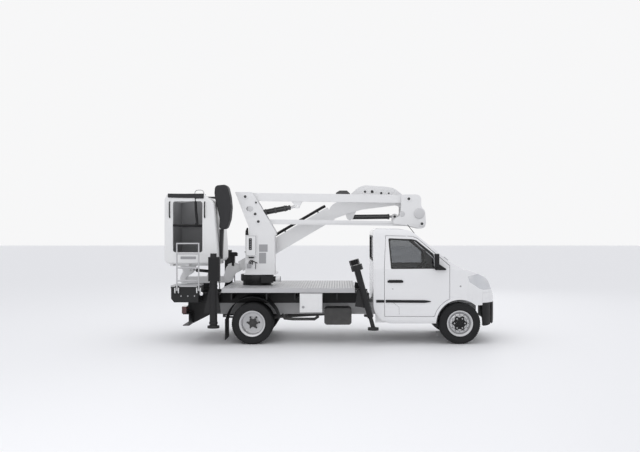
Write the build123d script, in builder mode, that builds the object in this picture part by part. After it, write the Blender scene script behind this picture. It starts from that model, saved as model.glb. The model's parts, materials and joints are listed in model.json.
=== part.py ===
from build123d import *
import os
from math import atan2, cos, hypot, pi, radians, sin, tan

# Truck-mounted boom lift. Millimetres. +X is the way the truck faces, +Y its left side, +Z up.
# The origin is on the ground under the middle of the whole machine.

os.makedirs("parts", exist_ok=True)

# Driving dimensions: truck
FRONT_AXLE_X = 2025
REAR_AXLE_X = -1225
AXLE_Z = 325
TYRE_R = 325
BEAD_R = 178
FRONT_TRACK_Y = 710
KINGPIN_Y = 660
FRONT_TYRE_W = 185
TWIN_Y = 635
TWIN_OFFSET = 110
TWIN_TYRE_W = 170
SPINDLE_R = 20
SPINDLE_GAP = 0.6
RAIL_Y = (350, 410)
RAIL_Z = (430, 610)
SUBFRAME_Z = (610, 770)
DECK_X = (-1700, 380)
DECK_Z = 880
DECK_EDGE = 69
DECK_Y = 850
CAB_Y = 830
FLOOR_Z = 640
ARCH_R = 375
SEAM = 3
GLASS = 6

# Driving dimensions: outriggers
REAR_JACK = (-1822, 870)
FRONT_JACK_TOP = (410, 895, 1200)
FRONT_JACK_LEAN = radians(15.3)

# Driving dimensions: boom, as (X, Z) of each pivot, with the middle Y of each beam
SLEW_X = -1230
RING_R = 272
RING_Z = (950, 1050)
ARM_Y = -130
BOOM_Y = 140
P1 = (-1402, 2333)
ARM_SPAN = (2678, -36)
LINK_OFFSET = (215, -408)
P2 = (P1[0] + LINK_OFFSET[0], P1[1] + LINK_OFFSET[1])
E1 = (P1[0] + ARM_SPAN[0], P1[1] + ARM_SPAN[1])
E2 = (E1[0] + LINK_OFFSET[0], E1[1] + LINK_OFFSET[1])
C1 = (-1238, 2049)
B1 = (-558, 2180)
R = (1446, 2057)
BOOM_EYE = (317, 2002)
ELBOW_EYE = (1070, 2011)
BOOM_ANGLE = radians(30.4)
BOOM_POINT = (-863, 1558)
H1 = (-1600, 1126)
H2 = (-1735, 955)
TIP = (-2487, 943)
LEVEL_EYE = (-2020, 1085)
BRACKET_EYE = (-2350, 1115)
PIN_R = 25
PIN_GAP = 0.6
ARM_DEPTH = 131
LINK_DEPTH = 78
BOOM_DEPTH = 236
BOOM_W = 180
INNER_DEPTH = 180
INNER_W = 136
JIB_DEPTH = 113

# A rounded corner takes up at most this share of the shorter side beside it
CORNER_SHARE = 0.42

SIDES = (("left", 1), ("right", -1))


def side_plane(y):
    """The plane at a given Y on which x is X and y is Z."""
    return Plane(origin=(0, y, 0), x_dir=(1, 0, 0), z_dir=(0, -1, 0))


def add_plate(outline, y_low, y_high, mode=Mode.ADD):
    """A side plate: its outline in (X, Z), between two values of Y."""
    with BuildSketch(side_plane((y_low + y_high) / 2)) as profile:
        Polygon(*outline, align=None)
    extrude(profile.sketch, amount=(y_high - y_low) / 2, both=True, mode=mode)


def corner_radii(outline, largest):
    """A radius for each corner of a closed outline: as large as its shorter side leaves room for."""
    radii = []
    for index, corner in enumerate(outline):
        before = outline[index - 1]
        after = outline[(index + 1) % len(outline)]
        run_in = (corner[0] - before[0], corner[1] - before[1])
        run_out = (after[0] - corner[0], after[1] - corner[1])
        turn = atan2(run_out[1], run_out[0]) - atan2(run_in[1], run_in[0])
        turn = abs((turn + pi) % (2 * pi) - pi)
        room = CORNER_SHARE * min(hypot(*run_in), hypot(*run_out)) / tan(turn / 2)
        radii.append(min(largest, room))
    return radii


def make_rounded(outline, largest):
    """The face inside an outline whose corners are rounded, in the sketch that is open."""
    with BuildLine(Plane.XY) as loop:
        FilletPolyline(*outline, radius=corner_radii(outline, largest), close=True)
    make_face(loop.edges())


def add_rounded_plate(outline, y_low, y_high, largest, mode=Mode.ADD):
    """A side plate with rounded corners: its outline in (X, Z), between two values of Y."""
    with BuildSketch(side_plane((y_low + y_high) / 2)) as profile:
        make_rounded(outline, largest)
    extrude(profile.sketch, amount=(y_high - y_low) / 2, both=True, mode=mode)


def add_section(outline, x_low, x_high, mode=Mode.ADD):
    """A length of constant section: its outline in (Y, Z), between two values of X."""
    with BuildSketch(Plane.YZ.offset(x_low)) as profile:
        Polygon(*outline, align=None)
    extrude(profile.sketch, amount=x_high - x_low, mode=mode)


def add_block(x, y, z, mode=Mode.ADD):
    """A block between the (low, high) values of x, y and z."""
    with Locations((sum(x) / 2, sum(y) / 2, sum(z) / 2)):
        Box(x[1] - x[0], y[1] - y[0], z[1] - z[0], mode=mode)


def add_rod(start, end, radius, mode=Mode.ADD):
    """A round bar between two points."""
    run = Vector(*end) - Vector(*start)
    with BuildSketch(Plane(origin=start, z_dir=run)) as section:
        Circle(radius)
    extrude(section.sketch, amount=run.length, mode=mode)


def add_pin(pivot, y_low, y_high, radius, mode=Mode.ADD):
    """A round bar along Y at an (X, Z) pivot."""
    add_rod((pivot[0], y_low, pivot[1]), (pivot[0], y_high, pivot[1]), radius, mode)


def along(start, end, distance, across=0):
    """The (X, Z) point at a distance from start towards end, moved across to the left of that line."""
    length = hypot(end[0] - start[0], end[1] - start[1])
    ux = (end[0] - start[0]) / length
    uz = (end[1] - start[1]) / length
    return (start[0] + ux * distance - uz * across, start[1] + uz * distance + ux * across)


def beam_outline(start, end, depth, back=0, front=0):
    """The outline of a straight beam of a given depth, longer than its pivots by back and front."""
    length = hypot(end[0] - start[0], end[1] - start[1])
    far = length + front
    half = depth / 2
    corners = ((-back, -half), (far, -half), (far, half), (-back, half))
    return [along(start, end, distance, across) for distance, across in corners]


def hollow_beam(start, end, depth, y_mid, width, wall, back=0, front=0):
    """A box beam along a line in the XZ plane, open at both ends."""
    add_plate(beam_outline(start, end, depth, back, front), y_mid - width / 2, y_mid + width / 2)
    bore = beam_outline(start, end, depth - 2 * wall, back + 1, front + 1)
    add_plate(bore, y_mid - width / 2 + wall, y_mid + width / 2 - wall, Mode.SUBTRACT)


def save(piece, name):
    """Labels a finished piece and writes it."""
    piece.part.label = name
    export_step(piece.part, "parts/" + name + ".step")


# Chassis: two channel rails joined by cross members
CROSS_X = (-2160, -1700, -650, 300, 1560, 2240)
with BuildPart() as chassis_frame:
    for side in (-1, 1):
        inner, outer = RAIL_Y
        add_block((-2200, 2330), sorted((side * inner, side * outer)), RAIL_Z)
        pocket = sorted((side * (inner - 1), side * (outer - 8)))
        add_block((-2201, 2331), pocket, (RAIL_Z[0] + 8, RAIL_Z[1] - 8), Mode.SUBTRACT)
    for x in CROSS_X:
        add_block((x - 30, x + 30), (-RAIL_Y[1] + 4, RAIL_Y[1] - 4), (RAIL_Z[0] + 30, RAIL_Z[1] - 30))
save(chassis_frame, "chassis_frame")

# Subframe that carries the boom: two deep rails, a box under the slew drive and cross members
with BuildPart() as subframe:
    for side in (-1, 1):
        add_block((-2300, 620), sorted((side * 345, side * 415)), SUBFRAME_Z)
    for x in (-2230, REAR_JACK[0], -600, 100, 485, 590):
        add_block((x - 30, x + 30), (-345, 345), (SUBFRAME_Z[0] + 20, SUBFRAME_Z[1] - 20))
    add_block((SLEW_X - 300, SLEW_X + 300), (-345, 345), SUBFRAME_Z)
    for x in (-1550, -1000, -560, 100):
        add_block((x - 12, x + 12), (-820, -415), (700, 811))
        add_block((x - 12, x + 12), (415, 820), (700, 811))
save(subframe, "subframe")

# Deck: a tread plate with turned-down edges, round the slew drive
with BuildPart() as deck:
    add_block(DECK_X, (-DECK_Y, DECK_Y), (DECK_Z - DECK_EDGE, DECK_Z))
    under = (DECK_Z - DECK_EDGE - 1, DECK_Z - 6)
    add_block((DECK_X[0] + 5, DECK_X[1] - 5), (-DECK_Y + 5, DECK_Y - 5), under, Mode.SUBTRACT)
    for x in (-1500, -900, -300, 200):
        add_block((x - 25, x + 25), (-DECK_Y + 5, DECK_Y - 5), (DECK_Z - DECK_EDGE, DECK_Z - 6))
    add_rod((SLEW_X, 0, 700), (SLEW_X, 0, 900), 245, Mode.SUBTRACT)
save(deck, "deck")

# Slew drive: a drum on the subframe, its bolted ring and the housing of its worm
with BuildPart() as slew_ring:
    add_rod((SLEW_X, 0, SUBFRAME_Z[1]), (SLEW_X, 0, RING_Z[0]), 235)
    add_rod((SLEW_X, 0, RING_Z[0]), (SLEW_X, 0, RING_Z[1]), RING_R)
    for step in range(20):
        angle = 2 * pi * step / 20
        x = SLEW_X + (RING_R - 22) * cos(angle)
        y = (RING_R - 22) * sin(angle)
        add_rod((x, y, RING_Z[0] - 10), (x, y, RING_Z[0]), 10)
    add_rod((SLEW_X, 0, SUBFRAME_Z[1] + 10), (SLEW_X, 0, RING_Z[1] + 1), 120, Mode.SUBTRACT)
    add_block((SLEW_X + 90, SLEW_X + 285), (-300, -150), (925, 1040))
    add_rod((SLEW_X + 285, -225, 985), (SLEW_X + 405, -225, 985), 44)
save(slew_ring, "slew_ring")

# Cab body. Its form is where a side, a front and a plan outline meet.
SIDE_OUTLINE = [(670, 329), (670, 1735), (700, 1800), (760, 1813), (1090, 1811), (1277, 1774),
                (1866, 1289), (2070, 1174), (2246, 1126), (2400, 1060), (2460, 1015), (2503, 955),
                (2532, 880), (2575, 800), (2603, 710), (2637, 652), (2648, 586), (2630, 415),
                (2603, 310), (2450, 284), (2380, 284), (2340, 329)]
FRONT_OUTLINE = [(830, 250), (830, 1175), (700, 1735), (650, 1795), (560, 1830)]
PLAN_OUTLINE = [(200, 830), (2180, 830), (2460, 735), (2585, 570), (2630, 380), (2645, 150)]
CABIN_SIDE = [(705, FLOOR_Z), (705, 1695), (745, 1783), (1085, 1781), (1250, 1748), (1847, 1259),
              (1950, 1200), (1950, FLOOR_Z)]
CABIN_FRONT = [(800, 600), (800, 1168), (672, 1725), (628, 1770), (560, 1790)]
CAB_ROUND = 300
# Small enough for the roof's roundings to end above the ones that start on the sides
CAB_TOP_ROUND = 130
WINDOW = [(917, 1651), (1275, 1637), (1344, 1623), (1605, 1412), (1685, 1193), (952, 1188)]


def mirrored(half):
    """A closed outline from its half on the positive side of the first coordinate."""
    return half + [(-a, b) for a, b in reversed(half)]


# The outside form of the cab, solid
with BuildPart() as cab_body:
    add_rounded_plate(SIDE_OUTLINE, -CAB_Y - 20, CAB_Y + 20, CAB_ROUND)
    with BuildSketch(Plane.YZ.offset(600)) as cab_front_view:
        make_rounded(mirrored(FRONT_OUTLINE), CAB_TOP_ROUND)
    extrude(cab_front_view.sketch, amount=2100, mode=Mode.INTERSECT)
    with BuildSketch(Plane.XY.offset(200)) as cab_plan:
        make_rounded(PLAN_OUTLINE + [(x, -y) for x, y in reversed(PLAN_OUTLINE)], CAB_ROUND)
    extrude(cab_plan.sketch, amount=1700, mode=Mode.INTERSECT)


def cut_cab_hollows():
    """Takes the cabin, the space under its floor, the front bay and the wheel arches out of the body."""
    with BuildPart(mode=Mode.PRIVATE) as cabin:
        add_plate(CABIN_SIDE, -CAB_Y, CAB_Y)
        add_section(mirrored(CABIN_FRONT), 600, 2700, Mode.INTERSECT)
        for side in (-1, 1):
            y_low, y_high = sorted((side * 400, side * 900))
            add_pin((FRONT_AXLE_X, AXLE_Z), y_low, y_high, ARCH_R + 25, Mode.SUBTRACT)
    add(cabin.part, mode=Mode.SUBTRACT)
    add_block((600, 2385), (-CAB_Y + 35, CAB_Y - 35), (200, FLOOR_Z - 30), Mode.SUBTRACT)
    for side in (-1, 1):
        y_low, y_high = sorted((side * 430, side * 900))
        add_pin((FRONT_AXLE_X, AXLE_Z), y_low, y_high, ARCH_R, Mode.SUBTRACT)
    add_plate(BAY_OUTLINE, -560, 560, Mode.SUBTRACT)


BAY_OUTLINE = [(1985, 730), (1985, 1190), (2060, 1140), (2240, 1095), (2385, 1030), (2440, 990),
               (2475, 940), (2500, 870), (2530, 810), (2530, 730)]
BONNET_OUTLINE = [(1912, 1236), (2063, 1150), (2238, 1101), (2388, 1037), (2441, 997), (2480, 940),
                  (2485, 925), (2700, 925), (2700, 1400), (1912, 1400)]
BONNET_GAP_OUTLINE = [(1906, 1228), (2060, 1143), (2236, 1094), (2383, 1031), (2435, 992), (2470, 940),
                      (2475, 919), (2700, 919), (2700, 1400), (1906, 1400)]
DOOR_ARCH_R = 418
DOOR_FRONT_X = 1862


def door_outline(grow):
    """The outline of the door or, grown, of its opening."""
    centre = (FRONT_AXLE_X, AXLE_Z)
    arch = DOOR_ARCH_R - grow
    top_angle = pi - atan2(385, FRONT_AXLE_X - DOOR_FRONT_X - grow)
    low_angle = pi - atan2(115 - grow, 402)
    mid_angle = (top_angle + low_angle) / 2
    angles = (top_angle, mid_angle, low_angle)
    start, middle, end = [(centre[0] + arch * cos(a), centre[1] + arch * sin(a)) for a in angles]
    front_x = DOOR_FRONT_X + grow
    with BuildSketch(side_plane(0)) as outline:
        with BuildLine():
            Polyline(end, (845 - grow, 440 - grow), (840 - grow, 1190), (868 - grow, 1700 + grow),
                     (1285 + grow, 1690 + grow), (1372 + grow, 1655 + grow), (front_x, 1232 + grow),
                     (front_x, start[1]), start)
            ThreePointArc(start, middle, end)
        make_face()
    return outline.sketch


def add_door_region(side, grow, mode):
    """The space of a door through the wall of the cab, on one side."""
    region = door_outline(grow).moved(Location((0, side * 590, 0)))
    extrude(region, amount=290, dir=(0, side, 0), mode=mode)


WIND_LOW = (1866, 1289)
WIND_HIGH = (1277, 1774)


def add_windscreen(margin, depth_low, depth_high, mode):
    """A slab along the windscreen, between two depths below its outer face."""
    start = along(WIND_LOW, WIND_HIGH, 45 - margin)
    end = along(WIND_LOW, WIND_HIGH, 715 + margin)
    outline = [along(start, end, 0, depth_low), along(start, end, 0, depth_high)]
    length = hypot(end[0] - start[0], end[1] - start[1])
    outline += [along(start, end, length, depth_high), along(start, end, length, depth_low)]
    add_plate(outline, -610 - margin, 610 + margin, mode)


LAMP_OUTLINE = [(2143, 1062), (2171, 975), (2252, 926), (2332, 870), (2400, 851), (2700, 851),
                (2700, 1040), (2400, 1120), (2250, 1090)]
BUMPER_TOP = 800
BUMPER_LOW = 645

with BuildPart() as cab_shell:
    add(cab_body.part)
    cut_cab_hollows()
    for side in (-1, 1):
        add_door_region(side, SEAM, Mode.SUBTRACT)
        add_block((700, 1620), sorted((side * 760, side * 790)), (340, FLOOR_Z))
        y_low, y_high = sorted((side * 588, side * 900))
        add_plate(LAMP_OUTLINE, y_low, y_high, Mode.SUBTRACT)
    add_plate(BONNET_GAP_OUTLINE, -581, 581, Mode.SUBTRACT)
    add_windscreen(0, -80, 80, Mode.SUBTRACT)
    add_block((600, 720), (-560, 560), (1300, 1690), Mode.SUBTRACT)
    add_block((2385, 2700), (-900, 900), (200, BUMPER_TOP), Mode.SUBTRACT)
save(cab_shell, "cab_shell")

with BuildPart() as cab_glass:
    add_windscreen(-0.2, 4, 4 + GLASS, Mode.ADD)
    add_block((686, 686 + GLASS), (-560, 560), (1300, 1690))
save(cab_glass, "cab_glass")

with BuildPart() as front_bumper:
    add(cab_body.part)
    add_block((2385, 2700), (-900, 900), (BUMPER_LOW, BUMPER_TOP), Mode.INTERSECT)
    add_block((2300, 2560), (-560, 560), (600, 900), Mode.SUBTRACT)
    for side in (-1, 1):
        y_low, y_high = sorted((side * 430, side * 900))
        add_pin((FRONT_AXLE_X, AXLE_Z), y_low, y_high, ARCH_R, Mode.SUBTRACT)
save(front_bumper, "front_bumper")

with BuildPart() as front_trim:
    add(cab_body.part)
    add_block((2385, 2700), (-900, 900), (200, BUMPER_LOW), Mode.INTERSECT)
    add_block((2300, 2560), (-640, 640), (200, 700), Mode.SUBTRACT)
    for side in (-1, 1):
        y_low, y_high = sorted((side * 430, side * 900))
        add_pin((FRONT_AXLE_X, AXLE_Z), y_low, y_high, ARCH_R, Mode.SUBTRACT)
    add_block((2500, 2700), (-330, 330), (470, 560), Mode.SUBTRACT)
    for z in (488, 515, 542):
        add_block((2575, 2620), (-330, 330), (z - 5, z + 5))
save(front_trim, "front_trim")

with BuildPart() as lamps:
    add(cab_body.part)
    add_plate(LAMP_OUTLINE, -900, 900, Mode.INTERSECT)
    add_block((2000, 2800), (-588, 588), (700, 1300), Mode.SUBTRACT)
    add(cab_body.part.moved(Location((-60, 0, -25))), mode=Mode.SUBTRACT)
    for side in (-1, 1):
        add_block((-2330, -2260), sorted((side * 560, side * 790)), (480, 590))
save(lamps, "lamps")

with BuildPart() as bonnet:
    add(cab_body.part)
    add_plate(BONNET_OUTLINE, -575, 575, Mode.INTERSECT)
save(bonnet, "bonnet")

for name, side in SIDES:
    with BuildPart() as door:
        add(cab_body.part)
        add_door_region(side, -SEAM, Mode.INTERSECT)
        with BuildPart(mode=Mode.PRIVATE) as cabin_side:
            add_section(mirrored([(800, 200)] + CABIN_FRONT[1:]), 500, 2200)
        add(cabin_side.part, mode=Mode.SUBTRACT)
        add_plate(WINDOW, -900, 900, Mode.SUBTRACT)
    save(door, "door_" + name)

    band = [(side * 816, 1175), (side * 690, 1720), (side * 684, 1720), (side * 810, 1175)]
    with BuildPart() as door_glass:
        add_plate(WINDOW, -900, 900)
        add_section(band, 700, 2000, Mode.INTERSECT)
    save(door_glass, "door_glass_" + name)

    with BuildPart() as door_trim:
        reach = sorted((side * 875, side * 985))
        add_block((1600, 1680), reach, (1210, 1425))
        arm = [(side * 821, 1215), (side * 815.5, 1240), (side * 890, 1240), (side * 890, 1215)]
        add_section(arm, 1655, 1790)
        add_block((890, 1135), sorted((side * CAB_Y, side * (CAB_Y + 14))), (972, 1006))
        add_block((860, 1567), sorted((side * CAB_Y, side * (CAB_Y + 12))), (655, 695))
    save(door_trim, "door_trim_" + name)

# Inside the cab
with BuildPart() as seats:
    for side in (-1, 1):
        y = sorted((side * 130, side * 600))
        seat = [(960, FLOOR_Z), (960, 860), (900, 1000), (830, 1430), (760, 1430), (800, 900), (800, FLOOR_Z)]
        cushion = [(800, FLOOR_Z), (800, 860), (1330, 900), (1370, 860), (1340, FLOOR_Z)]
        add_plate(seat, y[0], y[1])
        add_plate(cushion, y[0], y[1])
        add_block((760, 830), (sum(y) / 2 - 120, sum(y) / 2 + 120), (1430, 1570))
save(seats, "seats")

with BuildPart() as dashboard:
    add_plate([(1950, 900), (1700, 960), (1640, 1080), (1680, 1170), (1800, 1190), (1950, 1180)], -770, 770)
    add_rod((1700, 330, 1080), (1520, 330, 1130), 22)
    with BuildSketch(Plane(origin=(1510, 330, 1130), z_dir=(-0.8, 0, 0.6))) as wheel:
        Circle(185)
        Circle(155, mode=Mode.SUBTRACT)
        Rectangle(330, 30)
        Circle(50)
    extrude(wheel.sketch, amount=24)
save(dashboard, "dashboard")

with BuildPart() as engine_block:
    add_block((950, 1450), (-240, 240), (370, 605))
save(engine_block, "engine_block")

# Axles with their springs
with BuildPart() as front_axle:
    add_block((FRONT_AXLE_X - 45, FRONT_AXLE_X + 45), (-560, 560), (195, 265))
    for side in (-1, 1):
        y = sorted((side * 540, side * 690))
        add_block((FRONT_AXLE_X - 30, FRONT_AXLE_X + 30), y, (205, 225))
        add_block((FRONT_AXLE_X - 30, FRONT_AXLE_X + 30), y, (425, 445))
        add_block((FRONT_AXLE_X - 30, FRONT_AXLE_X + 30), sorted((side * 540, side * 600)), (205, 445))
        add_block((FRONT_AXLE_X - 45, FRONT_AXLE_X + 45), sorted((side * 350, side * 410)), (265, RAIL_Z[0]))
save(front_axle, "front_axle")

with BuildPart() as rear_axle:
    add_rod((REAR_AXLE_X, -615, AXLE_Z), (REAR_AXLE_X, 615, AXLE_Z), 45)
    add_rod((REAR_AXLE_X, -705, AXLE_Z), (REAR_AXLE_X, 705, AXLE_Z), SPINDLE_R)
    with Locations((REAR_AXLE_X, 0, AXLE_Z)):
        Sphere(125)
    add_rod((REAR_AXLE_X, 0, AXLE_Z), (948, 0, 450), 30)
    for side in (-1, 1):
        y = sorted((side * 350, side * 410))
        for leaf in range(4):
            half = 520 - 90 * leaf
            add_block((REAR_AXLE_X - half, REAR_AXLE_X + half), y, (378 - 12 * leaf, 390 - 12 * leaf))
        for end in (-500, 500):
            add_block((REAR_AXLE_X + end - 20, REAR_AXLE_X + end + 20), y, (378, RAIL_Z[0]))
save(rear_axle, "rear_axle")

with BuildPart() as fuel_tank:
    add_block((-100, 330), (-760, -412), (300, 560))
    fillet(fuel_tank.edges().filter_by(Axis.Y), 50)
save(fuel_tank, "fuel_tank")

# Toolbox under the deck, open at its side, with a drop-down door
BOX_X = (-480, -130)
BOX_Y = (-840, -430)
BOX_Z = (505, 800)
with BuildPart() as toolbox:
    add_block(BOX_X, BOX_Y, BOX_Z)
    inner_x = (BOX_X[0] + 12, BOX_X[1] - 12)
    add_block(inner_x, (BOX_Y[0] - 1, BOX_Y[1] - 12), (BOX_Z[0] + 12, BOX_Z[1] - 12), Mode.SUBTRACT)
    add_block(BOX_X, (-430, -410), (560, 610))
save(toolbox, "toolbox")

with BuildPart() as toolbox_door:
    add_block((BOX_X[0], BOX_X[1]), (BOX_Y[0] - 19, BOX_Y[0] - 5), (BOX_Z[0], BOX_Z[1]))
    add_rod((-425, -866, 590), (-425, -859, 590), 16)
save(toolbox_door, "toolbox_door")

with BuildPart() as mudguards:
    for side in (-1, 1):
        low, high = sorted((side * 432, side * 838))
        with BuildSketch(side_plane((low + high) / 2)) as arch:
            with Locations((REAR_AXLE_X, AXLE_Z)):
                Circle(420)
                Circle(413, mode=Mode.SUBTRACT)
            with Locations((REAR_AXLE_X, AXLE_Z - 300)):
                Rectangle(1000, 700, mode=Mode.SUBTRACT)
        extrude(arch.sketch, amount=(high - low) / 2, both=True)
        add_block((REAR_AXLE_X - 424, REAR_AXLE_X - 414), (low, high), (70, 400))
        add_block((REAR_AXLE_X - 20, REAR_AXLE_X + 20), sorted((side * 415, side * 440)), (700, 742))
save(mudguards, "mudguards")

# Rear end: corner boxes, the underrun bar on its arms, and the ladder's hinge brackets
LADDER_Y = -880
LADDER_HINGE_Z = 855
LADDER_X = (-2390, -2050)
with BuildPart() as rear_frame:
    add_block((-2314, -2212), (-800, 800), (290, 480))
    add_block((-2315, -2222), (-801, 801), (302, 468), Mode.SUBTRACT)
    for side in (-1, 1):
        arm = [(-2092, 640), (-2300, 480), (-2222, 480), (-2222, 290), (-2209, 290), (-1895, 450),
               (-1916, 640)]
        add_plate(arm, *sorted((side * 415, side * 440)))
        low, high = sorted((side * 415, side * 850))
        add_plate([(-2440, 660), (-2060, 660), (-2060, 880), (-2487, 880), (-2487, 720)], low, high)
        add_block((-2492, -2055), (low, high), (880, 922))
        add_plate([(-2300, 480), (-2092, 640), (-2092, 662), (-2300, 662)], *sorted((side * 415, side * 440)))
    for x in LADDER_X:
        add_block((x - 32, x + 32), (-862, -850), (780, 915))
        for cheek in (-27, 27):
            add_block((x + cheek - 5, x + cheek + 5), (-908, -862), (820, 890))
save(rear_frame, "rear_frame")

# Folding ladder on the right rear corner
with BuildPart() as ladder:
    for x in LADDER_X:
        add_rod((x, LADDER_Y, LADDER_HINGE_Z), (x, LADDER_Y, 1590), 11)
        add_rod((x - 16, LADDER_Y, LADDER_HINGE_Z), (x + 16, LADDER_Y, LADDER_HINGE_Z), 12)
    for z in (1000, 1200, 1422, 1580):
        add_rod((LADDER_X[0], LADDER_Y, z), (LADDER_X[1], LADDER_Y, z), 11)
save(ladder, "ladder")

# Outrigger frames: cross beams with the jack tubes and their caps
def front_jack_point(side, distance):
    """The point at a distance down the leaning axis of a front jack."""
    x, y, z = FRONT_JACK_TOP
    return (x + distance * sin(FRONT_JACK_LEAN), side * y, z - distance * cos(FRONT_JACK_LEAN))


with BuildPart() as outrigger_frames:
    for side in (-1, 1):
        x, y = REAR_JACK
        add_block((x - 55, x + 55), sorted((side * 415, side * y)), (630, 760))
        add_rod((x, side * y, 322), (x, side * y, 1370), 59)
        add_block((x - 73, x + 100), sorted((side * 818, side * 930)), (995, 1370))
        add_rod((x, side * y, 1370), (x, side * y, 1424), 50)
        gusset = [(x - 150, 500), (x + 110, 500), (x + 55, 900), (x - 55, 900)]
        add_plate(gusset, *sorted((side * 840, side * 900)))
        add_rod((x, side * y, 320), (x, side * y, 1280), 50, Mode.SUBTRACT)
    for side in (-1, 1):
        add_block((430, 540), sorted((side * 415, side * 860)), (640, 740))
        add_rod(front_jack_point(side, 40), front_jack_point(side, 800), 46)
        up = Vector(*front_jack_point(side, -1)) - Vector(*front_jack_point(side, 0))
        with BuildSketch(Plane(origin=front_jack_point(side, 40), z_dir=up)) as cap:
            RegularPolygon(90, 8)
        extrude(cap.sketch, amount=90)
        add_plate([(380, 600), (640, 560), (560, 800), (420, 860)], *sorted((side * 850, side * 870)))
        add_rod(front_jack_point(side, 60), front_jack_point(side, 801), 38, Mode.SUBTRACT)
save(outrigger_frames, "outrigger_frames")

for name, side in SIDES:
    x, y = REAR_JACK
    with BuildPart() as rear_leg:
        add_rod((x, side * y, 300), (x, side * y, 1200), 44)
        add_rod((x, side * y, 265), (x, side * y, 300), 93)
        add_rod((x, side * y, 300), (x, side * y, 316), 60)
    save(rear_leg, "leg_rear_" + name)
    with BuildPart() as front_leg:
        foot = front_jack_point(side, 960)
        add_rod(front_jack_point(side, 90), foot, 32)
        add_rod((foot[0], foot[1], 235), (foot[0], foot[1], 275), 85)
    save(front_leg, "leg_front_" + name)


# Wheels
def revolved(outline, centre, side):
    """A ring turned about the wheel's axis: its outline in (radius, distance outwards from centre)."""
    with BuildSketch(Plane(origin=centre, x_dir=(1, 0, 0), z_dir=(0, 0, 1))) as section:
        Polygon(*[(r, side * y) for r, y in outline], align=None)
    revolve(section.sketch, axis=Axis(centre, (0, 1, 0)))


def tyre_outline(half, middle):
    """Half widths of a tyre from bead to shoulder, moved to the tyre's middle."""
    right = [(BEAD_R, half - 17), (210, half - 3), (262, half), (302, half - 3), (TYRE_R, half - 34)]
    return [(r, middle + y) for r, y in right] + [(r, middle - y) for r, y in reversed(right)]


BORE_R = SPINDLE_R + SPINDLE_GAP
FRONT_RIM = [(BEAD_R, 76), (203, 91), (203, 97), (188, 96), (168, 78), (166, 40), (150, 56), (122, 62),
             (114, 50), (62, 48), (50, 72), (0, 72), (0, 62), (BORE_R, 62), (BORE_R, 30), (112, 38),
             (146, 46), (160, 30), (166, -80), (188, -96), (203, -97), (203, -91), (BEAD_R, -76)]
REAR_RIM = [(BEAD_R, 178), (203, 193), (203, 199), (188, 197), (168, 180), (168, 14), (62, 12), (54, 98),
            (0, 98), (0, 86), (BORE_R, 86), (BORE_R, -12), (168, -14), (168, -180), (188, -197),
            (203, -199), (203, -193), (BEAD_R, -178), (BEAD_R, -42), (200, -24), (178, -20), (178, 20),
            (200, 24), (BEAD_R, 42)]

for name, side in SIDES:
    hub = (FRONT_AXLE_X, side * FRONT_TRACK_Y, AXLE_Z)
    with BuildPart() as front_tyre:
        revolved(tyre_outline(FRONT_TYRE_W / 2, 0), hub, side)
    save(front_tyre, "tyre_front_" + name)
    with BuildPart() as front_rim:
        revolved(FRONT_RIM, hub, side)
    save(front_rim, "rim_front_" + name)
    with BuildPart() as knuckle:
        add_rod((FRONT_AXLE_X, side * KINGPIN_Y, 231), (FRONT_AXLE_X, side * KINGPIN_Y, 419), 22)
        add_rod((FRONT_AXLE_X, side * 640, AXLE_Z), (FRONT_AXLE_X, side * 766, AXLE_Z), SPINDLE_R)
        add_rod((FRONT_AXLE_X, side * 635, AXLE_Z), (FRONT_AXLE_X, side * 690, AXLE_Z), 55)
    save(knuckle, "knuckle_" + name)

    hub = (REAR_AXLE_X, side * TWIN_Y, AXLE_Z)
    with BuildPart() as twin_tyres:
        revolved(tyre_outline(TWIN_TYRE_W / 2, TWIN_OFFSET), hub, side)
        revolved(tyre_outline(TWIN_TYRE_W / 2, -TWIN_OFFSET), hub, side)
    save(twin_tyres, "tyres_rear_" + name)
    with BuildPart() as twin_rim:
        revolved(REAR_RIM, hub, side)
    save(twin_rim, "rim_rear_" + name)

# Turret: base plate, closed column, two cheek plates with the pivot pins, and the control box
CHEEK = [(-1569, 2408), (-1291, 2408), (-899, 1754), (-899, 1700), (-1340, 1700), (-1340, 1820)]
CHEEK_Y = ((-255, -237), (-23, -5))
CONTROL_BOX = [(-1392, 1358), (-1216, 1358), (-1216, 1702), (-1392, 1702)]
TURRET_GAP = 5
with BuildPart() as turret:
    base = RING_Z[1] + TURRET_GAP
    add_block((SLEW_X - 190, SLEW_X + 330), (-270, 250), (base, base + 22))
    add_block((-1400, -920), (-260, 0), (base + 22, 1720))
    for y_low, y_high in CHEEK_Y:
        add_plate(CHEEK, y_low, y_high)
        add_pin((-1348, 2134), y_low - 1, y_high + 1, 38, Mode.SUBTRACT)
    for pivot in (P1, P2, C1):
        add_pin(pivot, CHEEK_Y[0][0] - 12, CHEEK_Y[1][1] + 4, PIN_R)
        add_pin(pivot, CHEEK_Y[0][0] - 8, CHEEK_Y[0][0], PIN_R + 18)
    add_plate([(SLEW_X + 310, base + 22), (SLEW_X + 330, base + 22), (-920, 1250)], -150, -110)
    add_rounded_plate(CONTROL_BOX, -312, -259, 14)
save(turret, "turret")


def add_eye(pivot, y_mid, width, radius, bore, mode_ring=Mode.ADD):
    """A round eye on a pivot, bored through."""
    add_pin(pivot, y_mid - width / 2, y_mid + width / 2, radius, mode_ring)
    add_pin(pivot, y_mid - width / 2 - 1, y_mid + width / 2 + 1, bore, Mode.SUBTRACT)


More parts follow.
